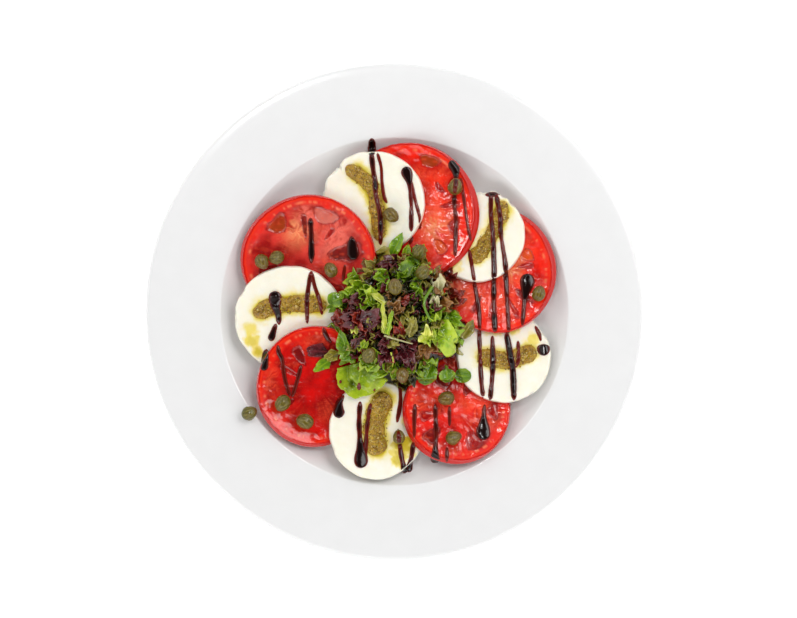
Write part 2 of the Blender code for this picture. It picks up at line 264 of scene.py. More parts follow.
def plate_profile():
    """The plate's outline from the middle of its floor, over the rim, to the middle of its underside."""
    slope = math.radians(WALL_SLOPE)
    corner_z = FLOOR_Z + WELL_DEPTH - CORNER_ROUNDING
    corner = arc(WELL_RADIUS, corner_z, CORNER_ROUNDING, 180 + WALL_SLOPE, 180 + RIM_SLOPE, 8)
    straight = (corner[0][1] - FLOOR_Z - WALL_FILLET * (1 - math.cos(slope))) / math.sin(slope)
    fillet_r = corner[0][0] - straight * math.cos(slope) - WALL_FILLET * math.sin(slope)
    fillet = arc(fillet_r, FLOOR_Z + WALL_FILLET, WALL_FILLET, 0, WALL_SLOPE, 14)
    rise = math.tan(math.radians(RIM_SLOPE)) * (PLATE_RADIUS - corner[-1][0])
    lip = RIM_THICKNESS / 2
    edge = arc(PLATE_RADIUS - lip, corner[-1][1] + rise - lip, lip, 180 + RIM_SLOPE, RIM_SLOPE, 10)
    rim = [*np.linspace(corner[-1], edge[0], 12)[1:-1], *edge]
    middle_z = edge[0][1] - lip
    crown = [(r, z - ROLL_DROP * max((r - ROLL_START) / (PLATE_RADIUS - ROLL_START), 0) ** 2) for r, z in rim]
    edge = [low if z > middle_z else (r, z) for low, (r, z) in zip(crown, rim)]
    wall = arc(fillet_r, FLOOR_Z + WALL_FILLET, WALL_FILLET + WALL_THICKNESS, WALL_SLOPE, OUTER_WALL_START, 8)
    under_z = corner[-1][1] - RIM_THICKNESS
    rim_under = (wall[0][0] + (under_z - wall[0][1]) / math.tan(slope), under_z)
    foot_inner = FOOT_OUTER_RADIUS - FOOT_WIDTH
    foot = [
        (FOOT_OUTER_RADIUS + FOOT_DRAFT, FOOT_HEIGHT),
        (FOOT_OUTER_RADIUS + FOOT_ROUNDING, FOOT_ROUNDING),
        (FOOT_OUTER_RADIUS - FOOT_ROUNDING, 0.0),
        (foot_inner + FOOT_ROUNDING, 0.0),
        (foot_inner - FOOT_ROUNDING, FOOT_ROUNDING),
        (foot_inner - FOOT_DRAFT, FOOT_HEIGHT),
    ]
    inner_floor = [(fillet_r * share, FLOOR_Z) for share in (0.02, 0.25, 0.5, 0.75)]
    under = [(fillet_r * share, FOOT_HEIGHT) for share in (0.6, 0.02)]
    return [*inner_floor, *fillet, *corner, *edge, rim_under, *wall, *foot, *under]


def with_ends(values, places):
    """Adds the middle of the first ring and the middle of the last one."""
    flat = np.asarray(values, dtype=float).reshape(-1, *np.shape(values)[2:])
    return np.concatenate([flat, [flat[:places].mean(axis=0)], [flat[-places:].mean(axis=0)]])


def ringed(rings, fields=None):
    """A closed shell over rings of points (ring, place, xyz), with a fan over the first ring and the last.

    Its fields are a value or a colour for each of those points, under a name.
    """
    count, places = rings.shape[:2]
    here = np.arange(count * places).reshape(count, places)
    beside = np.roll(here, -1, axis=1)
    quads = np.stack([here[:-1], here[1:], beside[1:], beside[:-1]], axis=-1).reshape(-1, 4)
    first = np.stack([np.full(places, count * places), here[0], beside[0]], axis=-1)
    last = np.stack([np.full(places, count * places + 1), beside[-1], here[-1]], axis=-1)
    painted = {field: with_ends(values, places) for field, values in (fields or {}).items()}
    return with_ends(rings, places), [quads, first, last], painted


def shells(name, parts):
    """One piece made of closed shells, each given as its points, its faces and its fields."""
    faces = []
    start = 0
    for points, corners, _ in parts:
        faces += [part + start for part in corners]
        start += len(points)
    piece = new_piece(name, np.concatenate([points for points, _, _ in parts]), faces)
    for field in parts[0][2]:
        paint(piece, field, np.concatenate([fields[field] for _, _, fields in parts]))
    return piece


def new_piece(name, points, faces):
    """An object from points and from arrays of faces, each array with faces of one number of corners."""
    mesh = bpy.data.meshes.new(name)
    corners = np.concatenate([part.ravel() for part in faces])
    sizes = np.concatenate([np.full(len(part), part.shape[1]) for part in faces])
    mesh.vertices.add(len(points))
    mesh.vertices.foreach_set("co", np.ascontiguousarray(points, dtype=np.float32).ravel())
    mesh.loops.add(len(corners))
    mesh.loops.foreach_set("vertex_index", corners.astype(np.int32))
    mesh.polygons.add(len(sizes))
    mesh.polygons.foreach_set("loop_start", np.concatenate([[0], np.cumsum(sizes)[:-1]]).astype(np.int32))
    mesh.update(calc_edges=True)
    mesh.validate()
    mesh.shade_smooth()
    piece = bpy.data.objects.new(name, mesh)
    bpy.context.scene.collection.objects.link(piece)
    return piece


def paint(piece, field, values):
    """Stores one value, or one colour, for each point of the mesh."""
    values = np.asarray(values, dtype=np.float32)
    if values.ndim == 2 and values.shape[1] == 3:
        layer = piece.data.attributes.new(field, "FLOAT_COLOR", "POINT")
        opaque = np.ones((len(values), 1), dtype=np.float32)
        layer.data.foreach_set("color", np.hstack([values, opaque]).ravel())
    else:
        layer = piece.data.attributes.new(field, "FLOAT", "POINT")
        layer.data.foreach_set("value", values.ravel())


def serve(piece, finish, slot, *nodes):
    """Gives a piece its finish, puts it on the plate's one body and hides the solids it stands for."""
    piece.data.materials.append(finish.material)
    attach(piece, "root")
    if nodes:
        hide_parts(*nodes)


def turned(profile, places):
    """Rings of points from a profile of (r, z)."""
    angles = full_turn(places)
    radii = np.array([r for r, _ in profile])[:, None]
    heights = np.array([z for _, z in profile])[:, None]
    return np.stack([radii * np.cos(angles), radii * np.sin(angles), heights + 0 * angles], axis=-1)


porcelain = Finish("porcelain")
glaze_waves = porcelain.noise(0.012, detail=2.0)
porcelain.surface(
    Base_Color=porcelain.mix(porcelain.spread(glaze_waves, 0.35, 0.65), PORCELAIN * 0.985, PORCELAIN),
    Roughness=porcelain.spread(porcelain.noise(0.03), 0.3, 0.7, 0.16, 0.22),
    Coat_Weight=0.4,
    Coat_Roughness=0.06,
)
porcelain.bumps(glaze_waves, 0.00004)
PLATE_PROFILE = plate_profile()
plate = shells("plate_porcelain", [ringed(turned(PLATE_PROFILE, PLATE_PLACES))])
serve(plate, porcelain, "porcelain", "plate")


def plate_height(x, y):
    """Height of the plate's upper side."""
    upper = [(r, z) for r, z in PLATE_PROFILE[: len(PLATE_PROFILE) // 2]]
    return np.interp(np.hypot(x, y), [r for r, _ in upper], [z for _, z in upper])


# ---- The tomato slices -------------------------------------------------------------------------------------
# Ripe beef tomatoes, cut across in slices 5 mm thick with a knife. Each has a thin red skin, a firm wall with
# a ring of pale dots, and soft flesh with wet pockets of gel. They lie in the ring, each over the next one.

MM = 0.001
RING_LEAN_RADIUS = 0.078
TOMATO_NODES = [f"tomato_slice_{i}" for i in range(1, 6)]
TOMATO_PLACES = 244
TOMATO_RINGS = 80
# A slice's outline is a sum of waves through its outermost points, one sector after another.
OUTLINE_WAVES = 5
OUTLINE_SECTORS = 36
OUTERMOST = 0.968
FACE_SHARE = 0.88
SKIN_BULGE = 0.0005
CUT_ROUNDING = 0.0005
WALL_WIDTH = 0.0062
DOT_SPACING = 0.0016
DOT_DEPTH = 0.0036
DOT_SIZE = 0.0008
STREAK_SIZE = 0.0011
CLOUD_SIZES = (0.0085, 0.0036)
FLECK_SIZES = (0.0013, 0.0042)
WET_WAVE_SIZE = 0.0029
FLESH_DIP = 0.00035
POCKET_DIP = 0.0011
WET_WAVES = 0.00024
SKIN = pigment(200, 16, 6)
RIND = pigment(244, 52, 18)
WALL = pigment(242, 36, 16)
CORAL = pigment(254, 88, 54)
BLUSH = pigment(248, 122, 104)
PALE_CORE = pigment(254, 168, 112)
DOT = pigment(252, 140, 96)
GELS = {
    "amber": pigment(150, 58, 10),
    "orange": pigment(226, 84, 20),
    "rose": pigment(214, 120, 104),
    "wine": pigment(84, 4, 6),
    "red": pigment(146, 4, 6),
}
# How ripe each slice is: the colour of its flesh and of its deeper parts.
RIPENESS = {
    "tomato_slice_1": (pigment(228, 58, 50), pigment(154, 5, 11)),
    "tomato_slice_2": (pigment(250, 34, 10), pigment(186, 4, 3)),
    "tomato_slice_3": (pigment(252, 34, 14), pigment(194, 5, 4)),
    "tomato_slice_4": (pigment(240, 30, 26), pigment(152, 1, 3)),
    "tomato_slice_5": (pigment(216, 9, 6), pigment(150, 1, 3)),
}

# A pocket of gel: its bearing from the slice's middle, its distance out as a share of the slice's radius, its
# size along and across in millimetres, and its gel.
Pocket = namedtuple("Pocket", "bearing out along across gel")
POCKETS = {
    "tomato_slice_1": [
        (131, 0.68, 10, 15, "amber"), (69, 0.68, 9, 19, "rose"), (96, 0.50, 15, 4, "wine"),
        (50, 0.50, 9, 3.5, "red"), (10, 0.56, 19, 15, "wine"), (196, 0.62, 12, 10, "red"),
        (250, 0.60, 14, 12, "amber"), (310, 0.62, 13, 13, "red"),
    ],
    "tomato_slice_2": [
        (71, 0.76, 7, 17, "amber"), (40, 0.52, 3.5, 9, "red"), (8, 0.56, 11, 5, "red"),
        (-20, 0.64, 6, 12, "red"), (-52, 0.66, 10, 9, "orange"), (-80, 0.72, 8, 6, "wine"),
        (30, 0.70, 6, 10, "red"), (160, 0.60, 12, 12, "amber"), (240, 0.60, 12, 12, "red"),
    ],
    "tomato_slice_3": [
        (24, 0.58, 7, 10, "orange"), (8, 0.50, 11, 4, "red"), (-42, 0.60, 13, 6, "wine"),
        (-64, 0.64, 16, 3.5, "red"), (-92, 0.60, 13, 6, "red"), (-118, 0.62, 12, 5, "wine"),
        (160, 0.60, 12, 12, "amber"), (100, 0.62, 11, 12, "red"),
    ],
    "tomato_slice_4": [
        (62, 0.52, 15, 10, "wine"), (112, 0.62, 14, 15, "wine"), (190, 0.52, 11, 7, "red"),
        (226, 0.62, 12, 10, "wine"), (-62, 0.60, 11, 10, "red"), (0, 0.66, 6, 13, "red"),
    ],
    "tomato_slice_5": [
        (60, 0.60, 12, 13, "wine"), (118, 0.58, 12, 8, "wine"), (150, 0.50, 13, 3.5, "red"),
        (5, 0.66, 10, 9, "amber"), (-40, 0.62, 11, 8, "red"), (-150, 0.56, 10, 6, "wine"),
    ],
}
# A paler patch: its bearing, distance out, size in millimetres, strength from 0 to 1, and colour. Most are
# the flesh's own paler parts, but a few on slices 3 and 4 are painted sheen: the pink shine of wet flesh.
Patch = namedtuple("Patch", "bearing out size strength colour")
PALE_PATCHES_AND_SHEEN = {
    "tomato_slice_1": [
        (112, 0.46, 8, 0.85, PALE_CORE), (94, 0.68, 6, 0.90, BLUSH), (46, 0.62, 11, 0.85, BLUSH),
        (30, 0.40, 10, 0.85, BLUSH), (-20, 0.30, 7, 0.50, CORAL),
    ],
    "tomato_slice_2": [
        (76, 0.52, 6, 0.95, CORAL), (50, 0.66, 5, 0.60, CORAL), (-34, 0.42, 8.5, 1.00, PALE_CORE),
        (-18, 0.28, 11, 0.80, CORAL), (24, 0.42, 6.5, 0.70, CORAL), (-75, 0.60, 8, 0.50, CORAL),
    ],
    # On slice 3 the patches at -76 and -112 degrees are painted sheen, the pink shine of wet flesh.
    "tomato_slice_3": [
        (40, 0.60, 7.5, 0.95, CORAL), (34, 0.44, 4, 0.90, PALE_CORE), (0, 0.24, 6.5, 1.00, PALE_CORE),
        (-76, 0.52, 12, 0.80, CORAL), (-112, 0.50, 10, 0.70, CORAL), (-150, 0.80, 9, 0.85, PALE_CORE),
    ],
    # On slice 4 the two patches near the middle, at 150 and 14 degrees, are painted sheen, the pink shine of
    # wet flesh.
    "tomato_slice_4": [
        (172, 0.80, 8, 0.90, CORAL), (150, 0.36, 8, 0.70, CORAL), (14, 0.36, 12, 0.95, CORAL),
        (-20, 0.78, 7, 0.60, CORAL), (230, 0.80, 7, 0.50, CORAL), (-88, 0.80, 8, 0.55, CORAL),
    ],
    "tomato_slice_5": [
        (170, 0.80, 8, 0.60, CORAL), (212, 0.74, 7, 0.50, CORAL), (100, 0.74, 7, 0.45, CORAL),
        (290, 0.50, 5, 0.45, CORAL), (-24, 0.72, 6, 0.60, CORAL), (250, 0.62, 5, 0.40, CORAL),
    ],
}
# Where each slice was cut near the tomato's shoulder its skin shows: bearing, and how wide the band is.
SHOULDER_BANDS = [(150, 0.0012), (-8, 0.0030), (10, 0.0022), (-120, 0.0022), (240, 0.0014)]


def mottle(x, y, size, seed):
    """Soft random unevenness between -1 and 1, in lumps about size across."""
    u = x / size + 17.3 * seed
    v = y / size - 9.1 * seed
    column = np.floor(u)
    row = np.floor(v)
    du = u - column
    dv = v - row
    du = du * du * (3 - 2 * du)
    dv = dv * dv * (3 - 2 * dv)

    def corner(i, j):
        wave = np.sin((column + i) * 127.1 + (row + j) * 311.7 + seed * 74.7) * 43758.5453
        return 2 * (wave - np.floor(wave)) - 1

    near = corner(0, 0) * (1 - du) + corner(1, 0) * du
    far = corner(0, 1) * (1 - du) + corner(1, 1) * du
    return near * (1 - dv) + far * dv


def fade(value, low, high):
    """0 below low and 1 above high, with a smooth step between."""
    share = np.clip((value - low) / (high - low), 0, 1)
    return share * share * (3 - 2 * share)


def blend(first, second, share):
    """Mixes two colours, or fields of colour, by a field from 0 to 1."""
    share = np.clip(share, 0, 1)[..., None]
    return first * (1 - share) + second * share


class Slab:
    """A slice's solid, read back as smooth curves: its outline, and the ramp that it lies on."""

    def __init__(self, node):
        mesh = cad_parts[node].data
        points = np.array([tuple(v.co) for v in mesh.vertices])
        low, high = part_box(node)
        self.x = (low[0] + high[0]) / 2
        self.y = (low[1] + high[1]) / 2
        self.bearing = math.atan2(self.y, self.x)
        reach = np.hypot(points[:, 0] - self.x, points[:, 1] - self.y)
        angle = np.arctan2(points[:, 1] - self.y, points[:, 0] - self.x)
        sector = np.floor((angle + np.pi) / (2 * np.pi) * OUTLINE_SECTORS).astype(int) % OUTLINE_SECTORS
        sectors = [reach[sector == s] for s in range(OUTLINE_SECTORS)]
        here = np.array([max(inside, default=0) for inside in sectors])
        widest = np.maximum(here, np.maximum(np.roll(here, 1), np.roll(here, -1)))
        edge = reach > OUTERMOST * widest[sector]
        self.waves = np.linalg.lstsq(self.turns(angle[edge]), reach[edge], rcond=None)[0]
        self.radius = self.waves[0]
        upper, lower = set(), set()
        for face in mesh.polygons:
            if math.hypot(face.center.x - self.x, face.center.y - self.y) < FACE_SHARE * self.radius:
                (upper if face.normal.z > 0 else lower).update(face.vertices)
        self.over = self.fit(points[sorted(upper)])
        self.under = self.fit(points[sorted(lower)])
        self.thickness = float(np.mean(self.top(self.x, self.y) - self.bottom(self.x, self.y)))

    def turns(self, angle):
        columns = [np.ones_like(angle)]
        for count in range(1, OUTLINE_WAVES + 1):
            columns += [np.cos(count * angle), np.sin(count * angle)]
        return np.stack(columns, axis=-1)

    def ramp(self, x, y):
        """What the ramp is made of: its level, its rise round the plate, and its lean on the plate's wall."""
        turn = self.bearing - np.arctan2(y, x)
        turn = (turn + np.pi) % (2 * np.pi) - np.pi
        lean = np.maximum(np.hypot(x, y) - RING_LEAN_RADIUS, 0) ** 2
        return np.stack([np.ones_like(turn), turn, lean], axis=-1)

    def fit(self, points):
        columns = self.ramp(points[:, 0], points[:, 1])
        return np.linalg.lstsq(columns, points[:, 2], rcond=None)[0]

    def reach(self, angle):
        return self.turns(np.asarray(angle, dtype=float)) @ self.waves

    def top(self, x, y):
        return self.ramp(np.asarray(x, dtype=float), np.asarray(y, dtype=float)) @ self.over

    def bottom(self, x, y):
        return self.ramp(np.asarray(x, dtype=float), np.asarray(y, dtype=float)) @ self.under

    def spot(self, bearing, out):
        """The place at a bearing from the slice's middle, out by a share of its radius."""
        turn = math.radians(bearing)
        return self.x + out * self.radius * math.cos(turn), self.y + out * self.radius * math.sin(turn)

    def share(self, x, y):
        """Distance from the slice's middle as a share of its radius there."""
        angle = np.arctan2(y - self.y, x - self.x)
        return np.hypot(x - self.x, y - self.y) / self.reach(angle)


def slab_rings(slab, ring_count, place_count, inset, rounding, torn=0.0):
    """A slice's points before any relief: x, y, share of the height, share of the radius, and bearing.

    inset is how far the cut face stands back from the widest outline at each place round the slice, and torn
    how far that outline itself is torn back. rounding is the radius of the cut edge.
    """
    angle = full_turn(place_count)
    widest = slab.reach(angle) - torn
    face_radius = widest - inset - rounding
    shares = np.linspace(0.02, 1, ring_count)
    rows = [(share * face_radius, np.ones_like(angle)) for share in shares]
    for i in range(1, 5):
        turn = math.radians(22.5 * i)
        height = 1 - rounding / slab.thickness * (1 - math.cos(turn))
        rows.append((face_radius + rounding * math.sin(turn), np.full_like(angle, height)))
    for share in (0.25, 0.5, 0.75, 0.9, 1.0):
        side = face_radius + rounding + inset * math.sin(share * math.pi / 2)
        height = (1 - rounding / slab.thickness) * (1 - share) + 0.14 * share
        rows.append((side, np.full_like(angle, height)))
    for share in (0.985, 0.96):
        rows.append((widest * share, np.full_like(angle, 0.04 if share > 0.97 else 0.0)))
    for share in (0.8, 0.5, 0.2, 0.03):
        rows.append((widest * share, np.zeros_like(angle)))
    radius = np.stack([row[0] for row in rows])
    height = np.stack([row[1] for row in rows])
    x = slab.x + radius * np.cos(angle)
    y = slab.y + radius * np.sin(angle)
    return x, y, height, radius / widest, angle + 0 * radius


def pocket_shape(slab, pocket, x, y, seed):
    """1 at a pocket's edge, less inside: a wedge with round corners, wide towards the skin."""
    bearing = math.radians(pocket.bearing)
    px, py = slab.spot(pocket.bearing, pocket.out)
    along = ((x - px) * math.cos(bearing) + (y - py) * math.sin(bearing)) / (pocket.along * MM / 2)
    across = ((y - py) * math.cos(bearing) - (x - px) * math.sin(bearing)) / (pocket.across * MM / 2)
    across = across / (0.72 + 0.34 * np.clip(along, -1.3, 1.3))
    wobble = 1 + 0.16 * mottle(x, y, 0.0042, seed) + 0.07 * mottle(x, y, 0.0017, seed + 1)
    return (np.abs(along) ** 2.6 + np.abs(across) ** 2.6) ** (1 / 2.6) / wobble


def cut_flesh(slab, name, seed, x, y, share, angle, face):
    """The colour and the dip of a tomato's cut face."""
    depth_in = (1 - share) * slab.radius
    around = angle * slab.radius
    streaks = mottle(around * share, share * slab.radius, STREAK_SIZE, seed)
    streaks = 0.6 * mottle(angle * 22, share * 2.4, 1.0, seed + 2) + 0.4 * streaks
    clouds = 0.6 * mottle(x, y, CLOUD_SIZES[0], seed + 3) + 0.4 * mottle(x, y, CLOUD_SIZES[1], seed + 4)
    flecks = mottle(x, y, FLECK_SIZES[0], seed + 5) + 0.5 * mottle(x, y, FLECK_SIZES[1], seed + 6)
    flecks = fade(flecks, 0.55, 1.1)

    flesh, deep = RIPENESS[name]
    colour = blend(flesh, deep, 0.46 + 1.1 * clouds)
    colour = blend(colour, CORAL, 0.40 * fade(streaks + 0.6 * clouds, 0.15, 1.1) * fade(share, 0.05, 0.35))
    colour = blend(colour, deep, 0.60 * fade(0.5 * clouds - streaks, 0.25, 0.9) * fade(share, 0.10, 0.40))
    colour = blend(colour, CORAL, 0.30 * flecks * fade(share, 0.3, 0.6))
    # Paler patches of flesh; some of them are painted sheen.
    for patch in itertools.starmap(Patch, PALE_PATCHES_AND_SHEEN[name]):
        px, py = slab.spot(patch.bearing, patch.out)
        away = np.hypot(x - px, y - py) / (patch.size * MM)
        round_it = np.arctan2(y - py, x - px) + 0.5 * mottle(x, y, 0.0026, seed + 8)
        rays = 0.70 + 0.70 * mottle(round_it * 4.4, away * 1.1, 1.0, seed + 7)
        colour = blend(colour, patch.colour, patch.strength * np.exp(-(away**2)) * rays)
    dip = FLESH_DIP * fade(depth_in, WALL_WIDTH * 0.5, WALL_WIDTH * 1.3)
    dip = dip + 0.00012 * streaks * fade(share, 0.1, 0.4) + 0.00016 * clouds
    dip = dip + WET_WAVES * mottle(x, y, WET_WAVE_SIZE, seed + 9) * fade(depth_in, 0.0008, 0.0030)

    wall = 1 - fade(depth_in + 0.0016 * clouds, WALL_WIDTH * 0.65, WALL_WIDTH * 1.05)
    colour = blend(colour, blend(WALL, flesh, 0.5 + clouds), 0.80 * wall)
    dots = fade(mottle(around, 0 * around, DOT_SPACING, seed + 8) + 0.4 * clouds, 0.0, 0.6)
    dot_ring = np.exp(-(((depth_in - DOT_DEPTH) / DOT_SIZE) ** 2))
    colour = blend(colour, DOT, 0.75 * dots * dot_ring)

    for number, pocket in enumerate(itertools.starmap(Pocket, POCKETS[name])):
        shape = pocket_shape(slab, pocket, x, y, seed + 11 + number)
        inside = 1 - fade(shape, 0.78, 1.0)
        rim = np.exp(-(((shape - 1.0) / 0.09) ** 2))
        pale = fade(mottle(x, y, 0.0017, seed + 30 + number), 0.1, 1.0)
        murk = fade(mottle(x, y, 0.0031, seed + 50 + number), 0.0, 1.0)
        body = blend(blend(GELS[pocket.gel], CORAL, 0.40 * pale), deep, 0.35 * murk)
        colour = blend(colour, body, 0.92 * inside)
        # Painted shade: a dark line along the pocket's edge, where the cut face steps down into the pocket.
        colour = blend(colour, deep * 0.45, 0.75 * rim)
        swell = 0.45 * (1 - np.clip(shape, 0, 1) ** 2)
        dip = dip * (1 - inside) + inside * POCKET_DIP * (1 - swell)

    skin = 1 - fade(depth_in, 0.0004, 0.0011)
    colour = blend(colour, RIND, 0.8 * (1 - fade(depth_in, 0.0010, 0.0026)))
    colour = blend(colour, SKIN, skin)
    return np.where(face[..., None] > 0.5, colour, SKIN), dip * face


tomato = Finish("tomato_flesh")
tomato_grain = tomato.noise(0.0009, detail=4.0, roughness=0.6)
tomato_wet = tomato.noise(0.0045, detail=2.0)
tomato_colour = tomato.mix(tomato.spread(tomato_grain, 0.25, 0.75, 0.0, 0.22), tomato.painted("flesh"), SKIN)
tomato.surface(
    Base_Color=tomato_colour,
    Roughness=tomato.spread(tomato_wet, 0.35, 0.65, 0.12, 0.26),
    Subsurface_Weight=0.12,
    Subsurface_Radius=(1.0, 0.25, 0.12),
    Subsurface_Scale=0.0020,
    Coat_Weight=0.5,
    Coat_Roughness=0.05,
    IOR=1.33,
)
tomato_swells = tomato.times(tomato.noise(0.0028, detail=2.0), 1.6)
tomato.bumps(tomato.sum(tomato_grain, tomato_swells), 0.00009)

slabs = {}
for number, node in enumerate(TOMATO_NODES):
    slab = Slab(node)
    slabs[node] = slab
    bearing, band = SHOULDER_BANDS[number]
    places = full_turn(TOMATO_PLACES)
    facing = np.maximum(np.cos(places - math.radians(bearing)), 0)
    uneven = 0.0002 * mottle(places * slab.radius, 0 * places, 0.003, number + 70)
    inset = SKIN_BULGE + band * facing**1.5 + uneven
    x, y, height, share, angle = slab_rings(slab, TOMATO_RINGS, TOMATO_PLACES, inset, CUT_ROUNDING)
    face = np.zeros_like(x)
    face[:TOMATO_RINGS] = 1
    face_share = share / share[TOMATO_RINGS - 1]
    seed = 100 * (number + 1)
    flesh, dip = cut_flesh(slab, node, seed, x, y, np.minimum(face_share, 1), angle, face)
    bottom = slab.bottom(x, y)
    z = bottom + height * (slab.top(x, y) - bottom) - dip
    piece = shells(f"{node}_cut", [ringed(np.stack([x, y, z], axis=-1), {"flesh": flesh})])
    serve(piece, tomato, "tomato", node)

# ---- The mozzarella slices ---------------------------------------------------------------------------------
# Fresh mozzarella, torn from the curd, shaped into balls and cut in slices 5.6 mm thick. It is soft, moist
# and smooth, tears a little at its edge, and takes up yellow-green oil round the pesto.

MOZZARELLA_NODES = [f"mozzarella_slice_{i}" for i in range(1, 6)]
MOZZARELLA_PLACES = 200
MOZZARELLA_RINGS = 36
CURD_BULGE = 0.0006
CURD_ROUNDING = 0.0010
CURD = pigment(247, 243, 228)
CURD_SHADE = pigment(240, 233, 208)
OIL = pigment(238, 218, 98)
DEEP_OIL = pigment(206, 182, 26)
# A torn stretch of a slice's edge: its bearing, its half width in degrees, and its depth in millimetres.
Tear = namedtuple("Tear", "bearing width depth")
TEARS = {
    "mozzarella_slice_1": [(166, 7, 1.2), (136, 9, 2.4), (92, 10, 0.8)],
    "mozzarella_slice_2": [(84, 13, 2.6), (58, 6, 1.2), (42, 5, 0.9)],
    "mozzarella_slice_3": [(30, 8, 0.8), (-60, 9, 0.6)],
    "mozzarella_slice_4": [(200, 9, 0.7), (-50, 8, 0.7)],
    "mozzarella_slice_5": [(178, 7, 1), (150, 5, 0.9)],
}
# Oil that ran off the pesto: its bearing, distance out, size in millimetres, and strength.
Stain = namedtuple("Stain", "bearing out size strength")
STAINS = {
    "mozzarella_slice_1": [(255, 0.72, 6, 0.45), (280, 0.80, 5, 0.35)],
    "mozzarella_slice_2": [(200, 0.60, 6, 0.60), (235, 0.80, 6, 0.60), (60, 0.72, 5, 0.50)],
    "mozzarella_slice_3": [(75, 0.66, 6.5, 0.55), (110, 0.62, 7, 0.45), (28, 0.70, 5, 0.55)],
    "mozzarella_slice_4": [(-30, 0.62, 8, 0.95), (-52, 0.70, 7, 0.85), (15, 0.72, 6, 0.75)],
    "mozzarella_slice_5": [
        (196, 0.74, 5.8, 0.50), (212, 0.80, 5, 0.75), (226, 0.86, 4.6, 0.85), (150, 0.60, 6, 0.30),
    ],
}
PESTO_NODES = [f"pesto_strip_{i}" for i in range(1, 6)]
STRIP_STATIONS = 9
HALO_WIDTH = 0.0021


def read_strip(node):
    """A strip's spine, as a line through a few stations, and its half width."""
    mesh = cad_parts[node].data
    points = np.array([tuple(v.co) for v in mesh.vertices])[:, :2]
    middle = points.mean(axis=0)
    direction = np.linalg.svd(points - middle, full_matrices=False)[2][0]
    side = np.array([-direction[1], direction[0]])
    along = (points - middle) @ direction
    across = (points - middle) @ side
    curve = np.polyfit(along, across, 3)
    stations = np.linspace(along.min(), along.max(), STRIP_STATIONS)
    spine = middle + stations[:, None] * direction + np.polyval(curve, stations)[:, None] * side
    return spine, float(np.abs(across - np.polyval(curve, along)).max())


def distance_to_spine(x, y, spine):
    """How far each point is from a line through a few stations."""
    best = np.full(np.shape(x), 1.0)
    for (x0, y0), (x1, y1) in zip(spine[:-1], spine[1:]):
        run = (x1 - x0) ** 2 + (y1 - y0) ** 2
        share = np.clip(((x - x0) * (x1 - x0) + (y - y0) * (y1 - y0)) / run, 0, 1)
        best = np.minimum(best, np.hypot(x - x0 - share * (x1 - x0), y - y0 - share * (y1 - y0)))
    return best


strips = {node: read_strip(node) for node in PESTO_NODES}


def oil_taken_up(slab, name, seed, x, y):
    """How much oil the cheese holds, from 0 to 1: a ragged halo round the pesto, and a few runs."""
    ragged = 0.5 * mottle(x, y, 0.0034, seed) + 0.35 * mottle(x, y, 0.0014, seed + 1)
    oil = np.zeros_like(x)
    for spine, width in strips.values():
        beyond = distance_to_spine(x, y, spine[1:-1]) - width * 0.95
        oil = np.maximum(oil, np.exp(-np.maximum(beyond, 0) / (HALO_WIDTH * (1 + 0.75 * ragged))))
    for stain in itertools.starmap(Stain, STAINS[name]):
        px, py = slab.spot(stain.bearing, stain.out)
        away = np.hypot(x - px, y - py) / (stain.size * MM)
        oil = np.maximum(oil, stain.strength * (1 - fade(away + 0.5 * ragged, 0.35, 1.25)))
    return oil


curd = Finish("mozzarella_curd")
curd_patches = curd.noise(0.0060, detail=4.0)
curd_colour = curd.mix(curd.spread(curd_patches, 0.30, 0.75, 0.0, 0.55), curd.painted("curd"), CURD_SHADE)
curd_colour = curd.mix(curd.field("oil"), curd_colour, curd.painted("curd"))
curd.surface(
    Base_Color=curd_colour,
    Roughness=curd.spread(curd.field("oil"), 0.0, 0.7, 0.42, 0.20),
    Subsurface_Weight=0.30,
    Subsurface_Radius=(1.0, 0.72, 0.42),
    Subsurface_Scale=0.0032,
    Coat_Weight=0.18,
    Coat_Roughness=0.18,
)
curd_swells = curd.times(curd.noise(0.0070, detail=2.0), 2.0)
curd.bumps(curd.sum(curd.noise(0.0013, detail=3.0), curd_swells), 0.00009)

for number, node in enumerate(MOZZARELLA_NODES):
    slab = Slab(node)
    slabs[node] = slab
    places = full_turn(MOZZARELLA_PLACES)
    inset = CURD_BULGE + 0.00025 * mottle(places * slab.radius, 0 * places, 0.0045, number + 81)
    torn = 0.0003 + 0.0003 * mottle(places * slab.radius, 0 * places, 0.0060, number + 85)
    for tear in itertools.starmap(Tear, TEARS[node]):
        off = (np.degrees(places) - tear.bearing + 180) % 360 - 180
        ragged = 1 + 0.5 * mottle(places * slab.radius, 0 * places, 0.0016, number + 90)
        bite = tear.depth * MM * np.exp(-((off / tear.width) ** 4)) * ragged
        torn = torn + 0.7 * bite
        inset = inset + 0.3 * bite
    rings = slab_rings(slab, MOZZARELLA_RINGS, MOZZARELLA_PLACES, inset, CURD_ROUNDING, torn)
    x, y, height = rings[:3]
    seed = 700 + 10 * number
    swell = 0.00022 * mottle(x, y, 0.011, seed) + 0.00008 * mottle(x, y, 0.0035, seed + 1)
    oil = oil_taken_up(slab, node, seed + 3, x, y) * fade(height, 0.5, 0.9)
    tint = blend(np.broadcast_to(CURD, (*x.shape, 3)), OIL, fade(oil, 0.04, 0.55))
    tint = blend(tint, DEEP_OIL, fade(oil, 0.55, 1.0))
    bottom = slab.bottom(x, y)
    z = bottom + height * (slab.top(x, y) - bottom) + (swell - 0.0001) * fade(height, 0.5, 1.0)
    piece = shells(f"{node}_cut", [ringed(np.stack([x, y, z], axis=-1), {"curd": tint, "oil": oil})])
    serve(piece, curd, "mozzarella", node)

